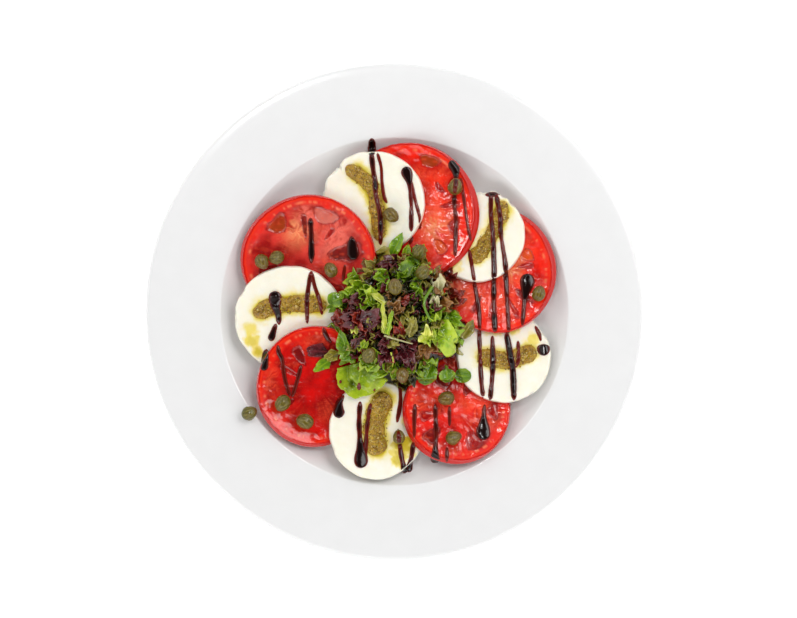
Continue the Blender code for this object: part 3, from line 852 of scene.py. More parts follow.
# ---- The pesto ---------------------------------------------------------------------------------------------
# Basil, nuts and hard cheese pounded coarse in oil, and laid in a thick strip on each slice of mozzarella.
# Air has turned it olive brown. Grains and crumbs of nut stand out of it, and it shines with oil.

PASTE_HEIGHT = 0.0021
PASTE_SINK = 0.0004
PASTE_STATIONS = 120
PASTE_PLACES = 36
PASTE_LUMPS = 0.0009
GRAINS_PER_STRIP = 240
GRAIN_RINGS = 4
GRAIN_PLACES = 6
GRAIN_SIZES = (0.00032, 0.00085)
STRAY_SHARE = 0.07
# How far off the strip's middle its grains lie, and the stray ones, as a share of its half width.
GRAIN_REACH = 0.93
STRAY_REACH = (1.05, 1.30)
PASTE = pigment(204, 160, 18)
PASTE_DARK = pigment(140, 102, 6)
PASTE_LIGHT = pigment(232, 200, 72)
GRAIN_COLOURS = [
    pigment(196, 154, 24),
    pigment(156, 118, 12),
    pigment(84, 60, 8),
    pigment(234, 210, 124),
    pigment(188, 172, 34),
    pigment(170, 128, 16),
]


def ring_top(x, y):
    """Height of the uppermost slice's cut face at a point, or of the plate beside the ring."""
    heights = plate_height(x, y)
    for slab in slabs.values():
        on_it = slab.share(x, y) < 0.985
        heights = np.where(on_it, np.maximum(heights, slab.top(x, y)), heights)
    return heights


def smooth_line(stops, count):
    """Evenly spaced points on a smooth curve through the stops."""
    stops = np.asarray(stops, dtype=float)
    ends = np.vstack([2 * stops[0] - stops[1], stops, 2 * stops[-1] - stops[-2]])
    share = np.linspace(0, 1, 12, endpoint=False)[:, None]
    parts = []
    for a, b, c, d in zip(ends, ends[1:], ends[2:], ends[3:]):
        bend = (2 * a - 5 * b + 4 * c - d) * share**2 + (3 * b - a - 3 * c + d) * share**3
        parts.append(0.5 * (2 * b + (c - a) * share + bend))
    line = np.vstack([*parts, stops[-1:]])
    run = np.concatenate([[0], np.cumsum(np.linalg.norm(np.diff(line, axis=0), axis=1))])
    even = np.linspace(0, run[-1], count)
    return np.stack([np.interp(even, run, line[:, k]) for k in range(line.shape[1])], axis=-1)


def sideways(line):
    """The unit direction across a flat line, to its left, at each of its points."""
    along = np.gradient(line[:, :2], axis=0)
    along /= np.linalg.norm(along, axis=1, keepdims=True)
    return np.stack([-along[:, 1], along[:, 0]], axis=-1)


def pebble(chance, centre, size):
    """A small uneven lump, as rings of points."""
    polar = np.linspace(0.25, math.pi - 0.25, GRAIN_RINGS)[:, None]
    round_it = full_turn(GRAIN_PLACES)[None, :]
    rough = 1 + 0.16 * (chance.random((GRAIN_RINGS, GRAIN_PLACES)) - 0.5)
    stretch = chance.uniform(0.75, 1.3, 3)
    x = size * stretch[0] * rough * np.sin(polar) * np.cos(round_it)
    y = size * stretch[1] * rough * np.sin(polar) * np.sin(round_it)
    z = size * stretch[2] * rough * np.cos(polar) + 0 * round_it
    turn = chance.uniform(0, 2 * math.pi)
    return np.stack([
        centre[0] + x * math.cos(turn) - y * math.sin(turn),
        centre[1] + x * math.sin(turn) + y * math.cos(turn),
        centre[2] - z,
    ], axis=-1)


def paste_height(along, across, x, y, seed):
    """Height of the paste over the cheese, from the place along the strip and across it, 0 to 1."""
    dome = np.clip(1 - np.abs(across) ** 2.4, 0, 1) ** 0.6
    dome = dome * np.clip(1 - np.abs(2 * along - 1) ** 8, 0, 1) ** 0.5
    lumps = 0.5 * mottle(x, y, 0.0021, seed) + 0.35 * mottle(x, y, 0.0011, seed + 1)
    lumps = lumps + 0.25 * mottle(x, y, 0.0005, seed + 2)
    return dome * (PASTE_HEIGHT + PASTE_LUMPS * lumps)


pesto = Finish("pesto_paste")
pesto_grit = pesto.noise(0.0006, detail=4.0, roughness=0.65)
pesto.surface(
    Base_Color=pesto.mix(pesto.spread(pesto_grit, 0.40, 0.62), PASTE_DARK, pesto.painted("paste")),
    Roughness=pesto.spread(pesto.noise(0.0016), 0.35, 0.65, 0.22, 0.50),
    Subsurface_Weight=0.12,
    Subsurface_Radius=(1.0, 0.7, 0.2),
    Subsurface_Scale=0.0012,
    Coat_Weight=0.4,
    Coat_Roughness=0.06,
)
pesto.bumps(pesto_grit, 0.00034)

for number, (node, (spine, width)) in enumerate(strips.items()):
    chance = np.random.default_rng(40 + number)
    seed = 300 + 10 * number
    line = smooth_line(spine, PASTE_STATIONS)
    side = sideways(line)
    along = np.linspace(0, 1, PASTE_STATIONS)[:, None]
    run = along * np.linalg.norm(line[-1] - line[0])
    turn = full_turn(PASTE_PLACES)[None, :]
    across = np.cos(turn)
    ragged = 1.02 + 0.24 * mottle(run, np.sign(across) * 7, 0.0046, seed)
    ragged = ragged + 0.15 * mottle(run, across * 3, 0.0016, seed)
    taper = np.clip(1 - np.abs(2 * along - 1) ** 7, 0.02, 1) ** 0.5
    reach = across * width * ragged * taper
    x = line[:, :1] + side[:, :1] * reach
    y = line[:, 1:] + side[:, 1:] * reach
    upper = np.sin(turn) > -0.05
    rise = paste_height(along, across, x, y, seed)
    z = ring_top(x, y) + np.where(upper, rise + 0.0001, -PASTE_SINK)
    tone = 0.5 + 0.35 * mottle(x, y, 0.0026, seed + 5) + 0.35 * mottle(x, y, 0.0010, seed + 6)
    colour = blend(blend(PASTE_DARK, PASTE, fade(tone, 0.0, 0.5)), PASTE_LIGHT, fade(tone, 0.55, 1.1))
    parts = [ringed(np.stack([x, y, z], axis=-1)[:, ::-1], {"paste": colour[:, ::-1]})]
    for _ in range(GRAINS_PER_STRIP):
        stray = chance.random() < STRAY_SHARE
        at = chance.uniform(0.02, 0.98)
        if stray:
            off = chance.choice([-1, 1]) * chance.uniform(*STRAY_REACH)
        else:
            off = chance.uniform(-GRAIN_REACH, GRAIN_REACH)
        station = int(at * (PASTE_STATIONS - 1))
        px, py = line[station] + side[station] * off * width * 0.95 * taper[station]
        size = chance.uniform(*GRAIN_SIZES) * (0.7 if stray else 1.0)
        lift = 0.0 if stray else float(paste_height(at, off, px, py, seed))
        pz = float(ring_top(px, py)) + lift + 0.25 * size
        shade = GRAIN_COLOURS[chance.integers(len(GRAIN_COLOURS))] * chance.uniform(0.8, 1.15)
        lump = pebble(chance, (px, py, pz), size)
        parts.append(ringed(lump, {"paste": np.broadcast_to(shade, lump.shape)}))
    serve(shells(f"{node}_paste", parts), pesto, "pesto", node)

# ---- The capers --------------------------------------------------------------------------------------------
# Pickled flower buds, about 9 mm long. Four olive green leaves wrap each one, one edge over the next, with
# pale ribs and darker seams that run from the stalk to the tip, and they are wet.

CAPER_NODES = [f"caper_{i:02d}" for i in range(1, 18)]
CAPER_STRETCH = 1.22
CAPER_WAIST = 0.97
BUD_RINGS = 28
BUD_PLACES = 40
SEPALS = 4
SEPAL_STEP = 0.14
BUD = pigment(104, 88, 18)
BUD_GREEN = pigment(82, 90, 14)
BUD_BROWN = pigment(116, 74, 24)
BUD_RIB = pigment(166, 150, 76)
BUD_SEAM = pigment(32, 22, 4)

caper_bud = Finish("caper_bud")
bud_grain = caper_bud.noise(0.0007, detail=3.0)
bud_specks = caper_bud.spread(bud_grain, 0.35, 0.7, 0.0, 0.45)
caper_bud.surface(
    Base_Color=caper_bud.mix(bud_specks, caper_bud.painted("bud"), BUD_SEAM),
    Roughness=caper_bud.spread(caper_bud.noise(0.0015), 0.35, 0.65, 0.24, 0.42),
    Subsurface_Weight=0.10,
    Subsurface_Radius=(1.0, 0.8, 0.3),
    Subsurface_Scale=0.0015,
    Coat_Weight=0.35,
    Coat_Roughness=0.05,
    IOR=1.34,
)
caper_bud.bumps(bud_grain, 0.00010)


def bud_axis(node):
    """The middle, the radius and the direction of a bud's solid."""
    points = np.array([tuple(v.co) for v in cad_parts[node].data.vertices])
    tip = points[np.argmax(np.linalg.norm(points - points.mean(axis=0), axis=1))]
    stalk = points[np.argmax(np.linalg.norm(points - tip, axis=1))]
    length = np.linalg.norm(tip - stalk)
    radius = length / (1 + CAPER_STRETCH)
    direction = (tip - stalk) / length
    return stalk + direction * radius, radius, direction


for number, node in enumerate(CAPER_NODES):
    chance = np.random.default_rng(500 + number)
    middle, radius, direction = bud_axis(node)
    polar = np.linspace(math.pi - 0.06, 0.06, BUD_RINGS)[:, None]
    turn = full_turn(BUD_PLACES)[None, :] + 0 * polar
    height = np.cos(polar) + 0 * turn
    swirl = chance.uniform(0.25, 0.7)
    lap = (turn * SEPALS / (2 * np.pi) + swirl * height + chance.random()) % 1.0
    open_tip = fade(height, -0.95, -0.3)
    step = SEPAL_STEP * (lap**1.5 * (1 - fade(lap, 0.93, 1.0)) - 0.4) * open_tip
    ribs = np.cos(turn * SEPALS * 3 + 6 * swirl * height)
    wrinkle = mottle(turn * 3, height * 4, 1.0, 900 + number)
    girth = CAPER_WAIST * np.sin(polar) * (1 + step + 0.018 * ribs + 0.045 * wrinkle) * 0.95
    stretch = np.where(height > 0, height * (1 + (CAPER_STRETCH - 1) * height**2), height)
    across = np.cross(direction, (0.0, 0.0, 1.0))
    across /= np.linalg.norm(across)
    upward = np.cross(across, direction)
    offset = girth[..., None] * (np.cos(turn)[..., None] * across + np.sin(turn)[..., None] * upward)
    points = middle + radius * (offset + stretch[..., None] * direction)
    brown = chance.uniform(0, 1)
    colour = blend(BUD + 0 * points, BUD_GREEN * (1 - brown) + BUD_BROWN * brown, 0.5 + 0.5 * wrinkle)
    ribbed = fade(height, -0.9, 0.1) * (1 - fade(height, 0.8, 1))
    colour = blend(colour, BUD_RIB, 0.55 * fade(ribs, 0.35, 0.95) * ribbed)
    colour = blend(colour, BUD_RIB, 0.45 * fade(lap, 0.82, 0.92) * (1 - fade(lap, 0.94, 0.99)) * open_tip)
    colour = blend(colour, BUD_SEAM, 0.85 * (1 - fade(lap, 0.0, 0.10)) * open_tip)
    colour = blend(colour, BUD_BROWN, 0.6 * fade(height, 0.7, 1.0))
    serve(shells(f"{node}_bud", [ringed(points, {"bud": colour})]), caper_bud, "caper", node)

# ---- The salad ---------------------------------------------------------------------------------------------
# A loose heap of small dressed salad leaves in the middle of the ring: green and red frilled lettuce torn to
# scraps, whole pointed and round leaves, and a few stalks. They are thin, crinkled, and wet with dressing.

LEAF_THICKNESS = 0.00034
CORE_SHARE = 0.70
CORE_RINGS = 40
CORE_PLACES = 96
HEAP_OVER = 0.0016
LEAF_TONES = {
    "green": (pigment(88, 130, 6), pigment(138, 170, 24)),
    "lime": (pigment(112, 142, 6), pigment(164, 184, 30)),
    "bright": (pigment(126, 166, 8), pigment(178, 200, 48)),
    "yellow": (pigment(176, 188, 44), pigment(216, 216, 104)),
    "olive": (pigment(122, 112, 26), pigment(158, 148, 58)),
    "purple": (pigment(56, 5, 14), pigment(104, 30, 36)),
    "red": (pigment(108, 16, 14), pigment(150, 48, 28)),
    "brown": (pigment(112, 66, 22), pigment(150, 104, 50)),
    "pale": (pigment(168, 164, 110), pigment(216, 208, 162)),
    # The dark tone is painted shade: leaves and scraps in it stand where the heap lies in shade between its
    # leaves.
    "dark": (pigment(34, 30, 10), pigment(62, 58, 22)),
}
# The colour of shade deep in the heap: painted shade over the heap's middle. The leaves also take it in
# random darker patches and flecks.
HEAP_SHADE = pigment(36, 26, 8)

# A leaf's form, its middle, the way it points, its length and width, how far it stands over the heap, how
# much its tip lifts, how it rolls and how far it curls up over its length, all in degrees, and its tone.
Leaf = namedtuple("Leaf", "form x y heading length width lift pitch roll curl tone")


def leaf_in_mm(form, x, y, heading, length, width, lift, *turns_and_tone):
    """A leaf whose place and sizes are given in millimetres."""
    return Leaf(form, x * MM, y * MM, heading, length * MM, width * MM, lift * MM, *turns_and_tone)


WHOLE_LEAVES = [leaf_in_mm(*row) for row in [
    ("blade", 1.8, 40.5, 63, 16.5, 7.4, 0.6, 6, -16, 10, "green"),
    ("blade", 7.2, 37.2, 76, 9, 5, 1.4, 14, 20, 20, "bright"),
    ("round", 6.6, 24.4, 20, 15, 11, 1.6, 8, -30, 45, "green"),
    ("blade", -9.8, 7.8, 150, 12, 5, 3.4, 4, 36, 10, "yellow"),
    ("round", -34.5, 7, 205, 13, 10.5, 1.2, 4, 18, 30, "green"),
    ("blade", -30, -18, 98, 17, 8.5, 1.4, 0, -24, 25, "green"),
    ("fan", -21.4, -41.8, 258, 21.5, 35, 1.4, -8, -6, 10, "lime"),
    ("blade", -9, -38, 215, 15, 7.5, 3, 10, 30, 30, "bright"),
    ("strip", -6.4, -3, 96, 19, 4.2, 4.6, 4, 40, 10, "yellow"),
    ("strip", -2.4, -6.2, 74, 15, 3.6, 5, 8, -34, 14, "bright"),
    ("round", 20.4, -36.6, 246, 17, 13, 1.2, -2, 14, 20, "green"),
    ("round", 31.6, -37.6, 275, 11, 10, 1, -4, 0, 24, "green"),
    ("round", 40.2, -38.6, 352, 13, 9, 1.2, -6, -10, 20, "green"),
    ("blade", 44, -10.2, 58, 13.5, 7.5, 1, -4, 20, 10, "olive"),
]]
FRILLED_LEAVES = [leaf_in_mm("frill", *row) for row in [
    # The far side of the heap.
    (-13.6, 28.5, 118, 12.5, 13.5, 0.4, 16, 8, 55, "olive"),
    (-4, 30.2, 175, 16, 12, 2.4, 10, -24, 50, "purple"),
    (4.8, 31.2, 40, 9, 8.5, 2, 22, 12, 60, "olive"),
    (-7.6, 21.2, 150, 13, 12, 0.8, 10, 20, 40, "green"),
    (-17.2, 22.2, 140, 11, 11, 1.2, 20, 0, 70, "olive"),
    (16.2, 23.6, 70, 9, 9, 1.2, 25, 0, 50, "olive"),
    # The left side.
    (-25.2, 15.2, 160, 15, 14, 2, 18, -14, 60, "bright"),
    (-14.8, 10.4, 112, 15, 12, 2.4, 14, 22, 40, "bright"),
    (-37.6, 2, 200, 8.5, 8, 1, 0, 0, 60, "green"),
    (-23.6, 6.4, 200, 12, 10, 2, 14, 14, 50, "purple"),
    (-26.2, -4.2, 185, 18.5, 15, 3, 12, -10, 55, "purple"),
    (-13.2, -2.6, 20, 16, 15, 3, 14, 14, 45, "purple"),
    (-22.6, -18, 80, 11, 7, 3, 24, 30, 40, "purple"),
    (-17.6, -19.2, 60, 8, 7, 2.6, 20, 0, 60, "bright"),
    (-23.6, -11.6, 250, 8, 7, 3, 18, 0, 60, "yellow"),
    (-16.8, -31, 235, 13, 12, 1.6, 6, 0, 50, "bright"),
    (-43.6, -32.4, 214, 14, 8.5, 1, 4, 0, 30, "green"),
    (-37.2, -26.2, 205, 11, 8, 1.2, 6, 0, 40, "olive"),
    (-47.6, -23.6, 178, 16.5, 10, 1.2, 6, 10, 40, "purple"),
    # The middle.
    (1.6, 4.2, 60, 13, 12, 2.2, 18, 0, 55, "brown"),
    (3.6, -10, 100, 11, 10.5, 2.4, 20, -10, 60, "red"),
    (9.8, -9.2, 84, 14, 8.5, 3, 14, 28, 35, "olive"),
    (11.8, 8.4, 30, 10, 10, 1, 24, 0, 70, "purple"),
    (-1, -18, 350, 12, 9, 2.4, 16, 0, 50, "olive"),
    (-5.6, -27.2, 255, 13, 12, 2.6, 16, 10, 55, "purple"),
    (7.6, -26.8, 290, 15, 13.5, 2.6, 16, -10, 55, "purple"),
    (-1, -35.2, 270, 12, 13, 0.8, 4, 0, 45, "green"),
    # The right side.
    (30, -16.5, 300, 26, 18.5, 3, 6, -14, 24, "bright"),
    (35.2, -12, 20, 13, 13, 2.4, 14, 0, 50, "green"),
    (18.8, -12.8, 90, 13, 12, 3, 18, 10, 45, "yellow"),
    (18.4, -23.6, 265, 12, 11, 2, 12, 0, 50, "brown"),
    (34.2, -30.6, 290, 11, 8, 1.6, 6, 0, 55, "red"),
    (26.2, 16.4, 92, 17.5, 9, 3, 16, 18, 40, "pale"),
    (24.6, 6.2, 80, 11, 8.5, 2.6, 18, -20, 50, "pale"),
    (34, 22.8, 45, 11, 11, 1.2, 8, 0, 65, "red"),
    (38, 9, 12, 16, 14, 1.2, 6, 0, 55, "red"),
    (30.6, 3.4, 340, 12, 11, 1.4, 10, 0, 60, "brown"),
    (36.4, -5.2, 330, 12, 12, 1, 0, 0, 45, "green"),
    (37.2, -22.4, 320, 11, 12, 1, 0, 10, 45, "olive"),
    (5, -41.2, 262, 13, 15, 0.8, -4, 0, 40, "olive"),
    # A leaf in the dark tone: painted shade.
    (12, -38.8, 280, 12, 13, 0.8, 0, 0, 45, "dark"),
    (-28.4, -26.2, 215, 13, 13, 0.8, 0, 0, 45, "green"),
]]
# The stalks: their stops (x, y, height over the heap) and their radius in millimetres, and their tone.
Stalk = namedtuple("Stalk", "stops radius tone")
STALKS = [
    Stalk([(22.5, 15, 4), (17.6, 5, 5), (21.6, -6.1, 3)], 1, "green"),
    Stalk([(-6, -14, 3), (2, -16.5, 4.5), (11, -19, 3)], 0.6, "pale"),
    Stalk([(13, -30, 2), (11.8, -38, 2), (11.2, -44, 1)], 0.5, "olive"),
    Stalk([(-2, -24, 3), (-0.6, -29, 4), (-1.2, -33, 2)], 0.6, "yellow"),
]
# The tones of the scraps in each part of the heap, and where in millimetres the middle of that part is. The
# dark scraps are painted shade.
Zone = namedtuple("Zone", "x y tones")
ZONES = [
    Zone(x * MM, y * MM, tones.split())
    for x, y, tones in [
        (-14, 27, "olive brown olive"), (0, 29, "purple olive brown"), (7, 23, "green green dark"),
        (-9, 18, "green purple dark"), (-27, 14, "bright green green"), (-35, 6, "green bright"),
        (-14, 9, "bright green olive"), (-24, 4, "purple brown green"), (-24, -5, "purple purple red"),
        (-11, -4, "purple brown olive"), (-3, -4, "olive bright brown"), (3, 6, "brown red dark"),
        (4, -11, "red purple olive"), (11, -9, "olive yellow dark"), (-30, -18, "green green dark"),
        (-20, -21, "purple bright olive"), (-6, -26, "purple red dark"), (8, -26, "purple purple brown"),
        (30, -17, "green bright green"), (19, -12, "yellow bright olive"), (18, -24, "brown olive red"),
        (21, -36, "green green dark"), (33, -30, "red purple green"), (-16, -32, "green bright dark"),
        (0, -35, "green olive dark"), (26, 15, "pale olive brown"), (33, 21, "red brown"),
        (37, 8, "red brown brown"), (19, 4, "dark green purple"), (15, 22, "olive green dark"),
        (12, 9, "purple dark green"), (40, -12, "green olive"),
    ]
]
SCRAP_COUNT = 250
SCRAP_LENGTHS = (0.0065, 0.0130)
SCRAP_REACH = 0.0370
SCRAP_SCATTER = 0.0012
GOLDEN_ANGLE = 2.39996
SEAT_LEAVES = 5
SEAT_LEAF = 0.0095
SEAT_GAP = 0.001
SEAT_CLEARANCE = 0.0006
# How far a leaf's middle lies under the heap's outline before its own lift.
LEAF_SINK = 0.0030
# Points along and across a leaf.
WHOLE_GRID = (30, 27)
FRILLED_GRID = (22, 38)
SCRAP_GRID = (10, 16)
STALK_STOPS = 30
STALK_PLACES = 10
CORE_REACH = 0.0300
# The grid on which the heap's heights are read, and how far out a caper can lie and still touch a leaf.
HEAP_GRID = 96
HEAP_GRID_REACH = 0.065
BUD_REACH = 0.055
# How close a leaf comes to a caper, to what it lies on and to the top of the heap, and its least room.
BUD_CLEARANCE = 0.0003
LEAF_CLEARANCE = 0.0004
LEAF_CEILING = 0.0008
LEAF_ROOM = 0.0035
# How tall a leaf's blisters are.
BLISTER = 0.00062
FINE_BLISTER = 0.00016

heap_low, heap_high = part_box("salad_leaves")
heap_middle = np.array([(heap_low[0] + heap_high[0]) / 2, (heap_low[1] + heap_high[1]) / 2])
heap_solid = BVHTree.FromPolygons(
    [tuple(v.co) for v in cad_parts["salad_leaves"].data.vertices],
    [tuple(p.vertices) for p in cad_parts["salad_leaves"].data.polygons],
)


def heap_grid():
    """The height of the heap's solid, or of the ring beside it, on a fine square grid."""
    across = np.linspace(-HEAP_GRID_REACH, HEAP_GRID_REACH, HEAP_GRID)
    x, y = np.meshgrid(across, across, indexing="ij")
    ground = ring_top(x, y)
    top = ground.copy()
    for i in range(HEAP_GRID):
        for j in range(HEAP_GRID):
            hit = heap_solid.ray_cast(Vector((x[i, j], y[i, j], 0.2)), Vector((0, 0, -1)))[0]
            if hit:
                top[i, j] = hit.z
    return across, ground, top


grid_line, ground_grid, top_grid = heap_grid()


def from_grid(grid, x, y):
    """Reads a value between the grid's points."""
    step = grid_line[1] - grid_line[0]
    u = np.clip((np.asarray(x) - grid_line[0]) / step, 0, HEAP_GRID - 1.001)
    v = np.clip((np.asarray(y) - grid_line[0]) / step, 0, HEAP_GRID - 1.001)
    i = np.floor(u).astype(int)
    j = np.floor(v).astype(int)
    du = u - i
    dv = v - j
    near = grid[i, j] * (1 - du) + grid[i + 1, j] * du
    far = grid[i, j + 1] * (1 - du) + grid[i + 1, j + 1] * du
    return near * (1 - dv) + far * dv


buds_on_heap = []
for node in CAPER_NODES:
    middle, radius, direction = bud_axis(node)
    if np.hypot(*(middle[:2] - heap_middle)) < BUD_REACH:
        buds_on_heap.append((middle + 0.1 * radius * direction, radius * 1.08))


def settle(points):
    """Keeps a leaf over what it lies on, under the top of the heap, and clear of the capers in it."""
    x, y, z = points[..., 0], points[..., 1], points[..., 2]
    ground = np.maximum(ring_top(x, y), from_grid(ground_grid, x, y) - 0.001) + LEAF_CLEARANCE
    z = ground + LEAF_CLEARANCE * np.logaddexp(0, (z - ground) / LEAF_CLEARANCE)
    ceiling = np.maximum(from_grid(top_grid, x, y) + HEAP_OVER, ground + LEAF_ROOM)
    for middle, radius in buds_on_heap:
        beside = np.hypot(x - middle[0], y - middle[1]) < 1.5 * radius
        ceiling = np.where(beside, np.maximum(ceiling, middle[2] - 0.5 * radius), ceiling)
    z = ceiling - LEAF_CEILING * np.logaddexp(0, (ceiling - z) / LEAF_CEILING)
    for middle, radius in buds_on_heap:
        away = np.hypot(x - middle[0], y - middle[1])
        hollow = middle[2] - np.sqrt(np.maximum(radius**2 - away**2, 0)) - BUD_CLEARANCE
        z = np.where(away < radius, np.minimum(z, np.maximum(hollow, ground)), z)
    return np.stack([x, y, z], axis=-1)


def flat_leaf(form, chance, rows, places):
    """The leaf laid flat: places along and across, as shares, and the share of the way to its margin."""
    u = np.linspace(0.02, 1, rows)[:, None]
    v = np.linspace(-1, 1, places)[None, :]
    shift = chance.uniform(0, 50)
    teeth = 0.5 * mottle(u * 9, 3 * np.sign(v), 1.0, shift) + 0.5 * mottle(u * 21, 3 * np.sign(v), 1.0, shift)
    if form in ("frill", "fan"):
        spread = 1.25 * v
        ragged = 1 + 0.12 * mottle(spread * 2.6, 0 * v, 1.0, shift)
        ragged = ragged + 0.05 * mottle(spread * 7, 0 * v, 1.0, shift)
        reach = u * ragged
        return reach * np.cos(spread), reach * np.sin(spread) * 0.95, u + 0 * v
    if form == "blade":
        half = np.sin(np.pi * np.clip(u, 0, 1) ** 0.78) ** 0.8
    elif form == "round":
        half = np.where(u < 0.22, 0.16, np.sqrt(np.clip(1 - ((u - 0.62) / 0.40) ** 2, 0, 1)))
        half = np.maximum(half, 0.16 * (u < 0.4))
    else:
        half = 0.95 - 0.35 * u
    half = half * (1 + 0.08 * teeth)
    return u + 0 * v, v * half, np.abs(v) + 0 * u


def sheeted(upper, lower, fields):
    """A closed thin shell between two grids of points (row, place, xyz), joined along all four edges.

    Its fields are a value or a colour for each point of the upper grid and then of the lower one.
    """
    rows, places = upper.shape[:2]
    count = rows * places
    here = np.arange(count).reshape(rows, places)
    quads = np.stack([here[:-1, :-1], here[1:, :-1], here[1:, 1:], here[:-1, 1:]], axis=-1).reshape(-1, 4)
    border = np.concatenate([here[0], here[1:, -1], here[-1, -2::-1], here[-2:0:-1, 0]])
    beside = np.roll(border, -1)
    sides = np.stack([border, beside, beside + count, border + count], axis=-1)
    points = np.concatenate([upper.reshape(-1, 3), lower.reshape(-1, 3)])
    painted = {field: np.asarray(values).reshape(2 * count, -1) for field, values in fields.items()}
    return points, [quads, quads[:, ::-1] + count, sides], painted


def leaf_part(leaf, chance, rows, places):
    """One leaf as a closed thin shell, ruffled, curled, turned into its place and settled on the heap."""
    along, across, out = flat_leaf(leaf.form, chance, rows, places)
    a = along * leaf.length
    b = across * leaf.width / 2
    is_frill = leaf.form == "frill"
    seed = chance.uniform(0, 90)
    waves = chance.uniform(2.2, 3.6) if is_frill else chance.uniform(1.5, 2.5)
    phase = chance.uniform(0, 2 * np.pi)
    is_spread = leaf.form in ("frill", "fan")
    turn = np.arctan2(across, along) * 2.2 if is_spread else along * 2 * np.pi / 2.6 + 1.7 * np.sign(across)
    depth = leaf.width * (0.17 if is_frill else 0.05)
    ruffle = depth * out**2 * np.sin(waves * turn + phase + 2.5 * (1 - out))
    ruffle = ruffle + 0.42 * depth * out**3 * np.sin(2.1 * waves * turn + 2 * phase)
    rib = np.abs(across)
    fold = (0.30 if leaf.form == "blade" else 0.16) * leaf.width * rib**1.3
    blister = BLISTER * mottle(a + seed, b, 0.0024, seed) + FINE_BLISTER * mottle(a, b + seed, 0.0011, seed)
    c = ruffle + fold + blister * (0.4 + out)
    bend = math.radians(leaf.curl) / leaf.length
    a, c = (
        np.sin(bend * a) / bend - c * np.sin(bend * a),
        (1 - np.cos(bend * a)) / bend + c * np.cos(bend * a),
    )
    middle = a[rows // 2, places // 2], c[rows // 2, places // 2]
    placing = (
        Matrix.Rotation(math.radians(leaf.heading), 3, "Z")
        @ Matrix.Rotation(-math.radians(leaf.pitch), 3, "Y")
        @ Matrix.Rotation(math.radians(leaf.roll), 3, "X")
    )
    local = np.stack([a - middle[0], b, c - middle[1]], axis=-1)
    height = float(from_grid(top_grid, leaf.x, leaf.y)) - LEAF_SINK + leaf.lift
    points = settle(local @ np.array(placing).T + np.array([leaf.x, leaf.y, height]))
    normal = np.cross(np.gradient(points, axis=0), np.gradient(points, axis=1))
    normal /= np.maximum(np.linalg.norm(normal, axis=-1, keepdims=True), 1e-12)
    half = 0.5 * LEAF_THICKNESS * normal
    inner, margin = LEAF_TONES[leaf.tone]
    shade = chance.uniform(0.82, 1.18)
    veins = np.cos(2 * np.pi * (6 * along - 3.2 * rib) + 0.6 * mottle(a, b, 0.003, seed))
    at_margin = fade(out + 0.25 * mottle(a, b, 0.0022, seed), 0.45, 1.05)
    at_rib = (1 - fade(rib * leaf.width / 2, 0.0002, 0.0006)) * fade(1 - along, 0.05, 0.5)
    colour = blend(inner * shade + 0 * points, margin * shade, at_margin)
    colour = blend(colour, margin * 1.1, 0.40 * fade(veins, 0.70, 0.98))
    colour = blend(colour, margin * 1.15, 0.75 * at_rib)
    colour = blend(colour, HEAP_SHADE, 0.35 * fade(mottle(a, b, 0.0034, seed + 5), 0.1, 1.0))
    both_sides = np.stack([colour, blend(colour, margin, 0.25)])
    return sheeted(points + half, points - half, {"leaf": both_sides})


def stalk_part(stalk):
    """A stalk as a tube along its stops, laid over the heap."""
    line = smooth_line(np.array(stalk.stops) * MM, STALK_STOPS)
    line[:, 2] += from_grid(top_grid, line[:, 0], line[:, 1]) - LEAF_SINK
    side = sideways(line)
    turn = full_turn(STALK_PLACES)
    radius = stalk.radius * MM * (1 - 0.35 * np.linspace(0, 1, STALK_STOPS))[:, None]
    x = line[:, :1] + radius * np.cos(turn) * side[:, :1]
    y = line[:, 1:2] + radius * np.cos(turn) * side[:, 1:2]
    z = line[:, 2:] + radius * np.sin(turn)
    inner, margin = LEAF_TONES[stalk.tone]
    # Painted light and shade: each stalk is lighter along its top and darker along its underside.
    colour = blend(inner + np.zeros((*x.shape, 3)), margin, 0.5 + 0.5 * np.sin(turn) + 0 * x)
    return ringed(np.stack([x, y, z], axis=-1)[:, ::-1], {"leaf": colour})


leaf_finish = Finish("salad_leaf")
leaf_grain = leaf_finish.noise(0.0011, detail=4.0)
leaf_finish.surface(
    Base_Color=leaf_finish.mix(
        leaf_finish.spread(leaf_grain, 0.55, 0.85, 0.0, 0.35), leaf_finish.painted("leaf"), HEAP_SHADE
    ),
    Roughness=leaf_finish.spread(leaf_finish.noise(0.0025), 0.35, 0.65, 0.16, 0.34),
    Subsurface_Weight=0.12,
    Subsurface_Radius=(0.6, 1.0, 0.2),
    Subsurface_Scale=0.0010,
    Coat_Weight=0.75,
    Coat_Roughness=0.04,
    IOR=1.30,
)
leaf_finish.bumps(leaf_grain, 0.00028)

# The imported middle of the heap, which shows only as the dark between the leaves; its colour is painted
# shade.
turn = full_turn(CORE_PLACES)[None, :]
out = np.concatenate([np.linspace(0.02, 0.97, CORE_RINGS), np.full(3, 1.0)])[:, None]
reach = CORE_REACH + 0.0015 * mottle(turn * 4, 0 * turn, 1.0, 61)
x = heap_middle[0] + out * reach * np.cos(turn)
y = heap_middle[1] - 0.0008 + out * reach * np.sin(turn)
ground = ring_top(x, y)
crumple = 0.0016 * mottle(x, y, 0.0050, 62) + 0.0010 * mottle(x, y, 0.0022, 63)
crumple = crumple + 0.0005 * mottle(x, y, 0.0010, 64)
rise = (from_grid(top_grid, x, y) - ground) * CORE_SHARE * np.clip(1 - out**6, 0, 1) ** 0.5
z = ground + 0.0006 + rise + crumple * (1 - out**4)
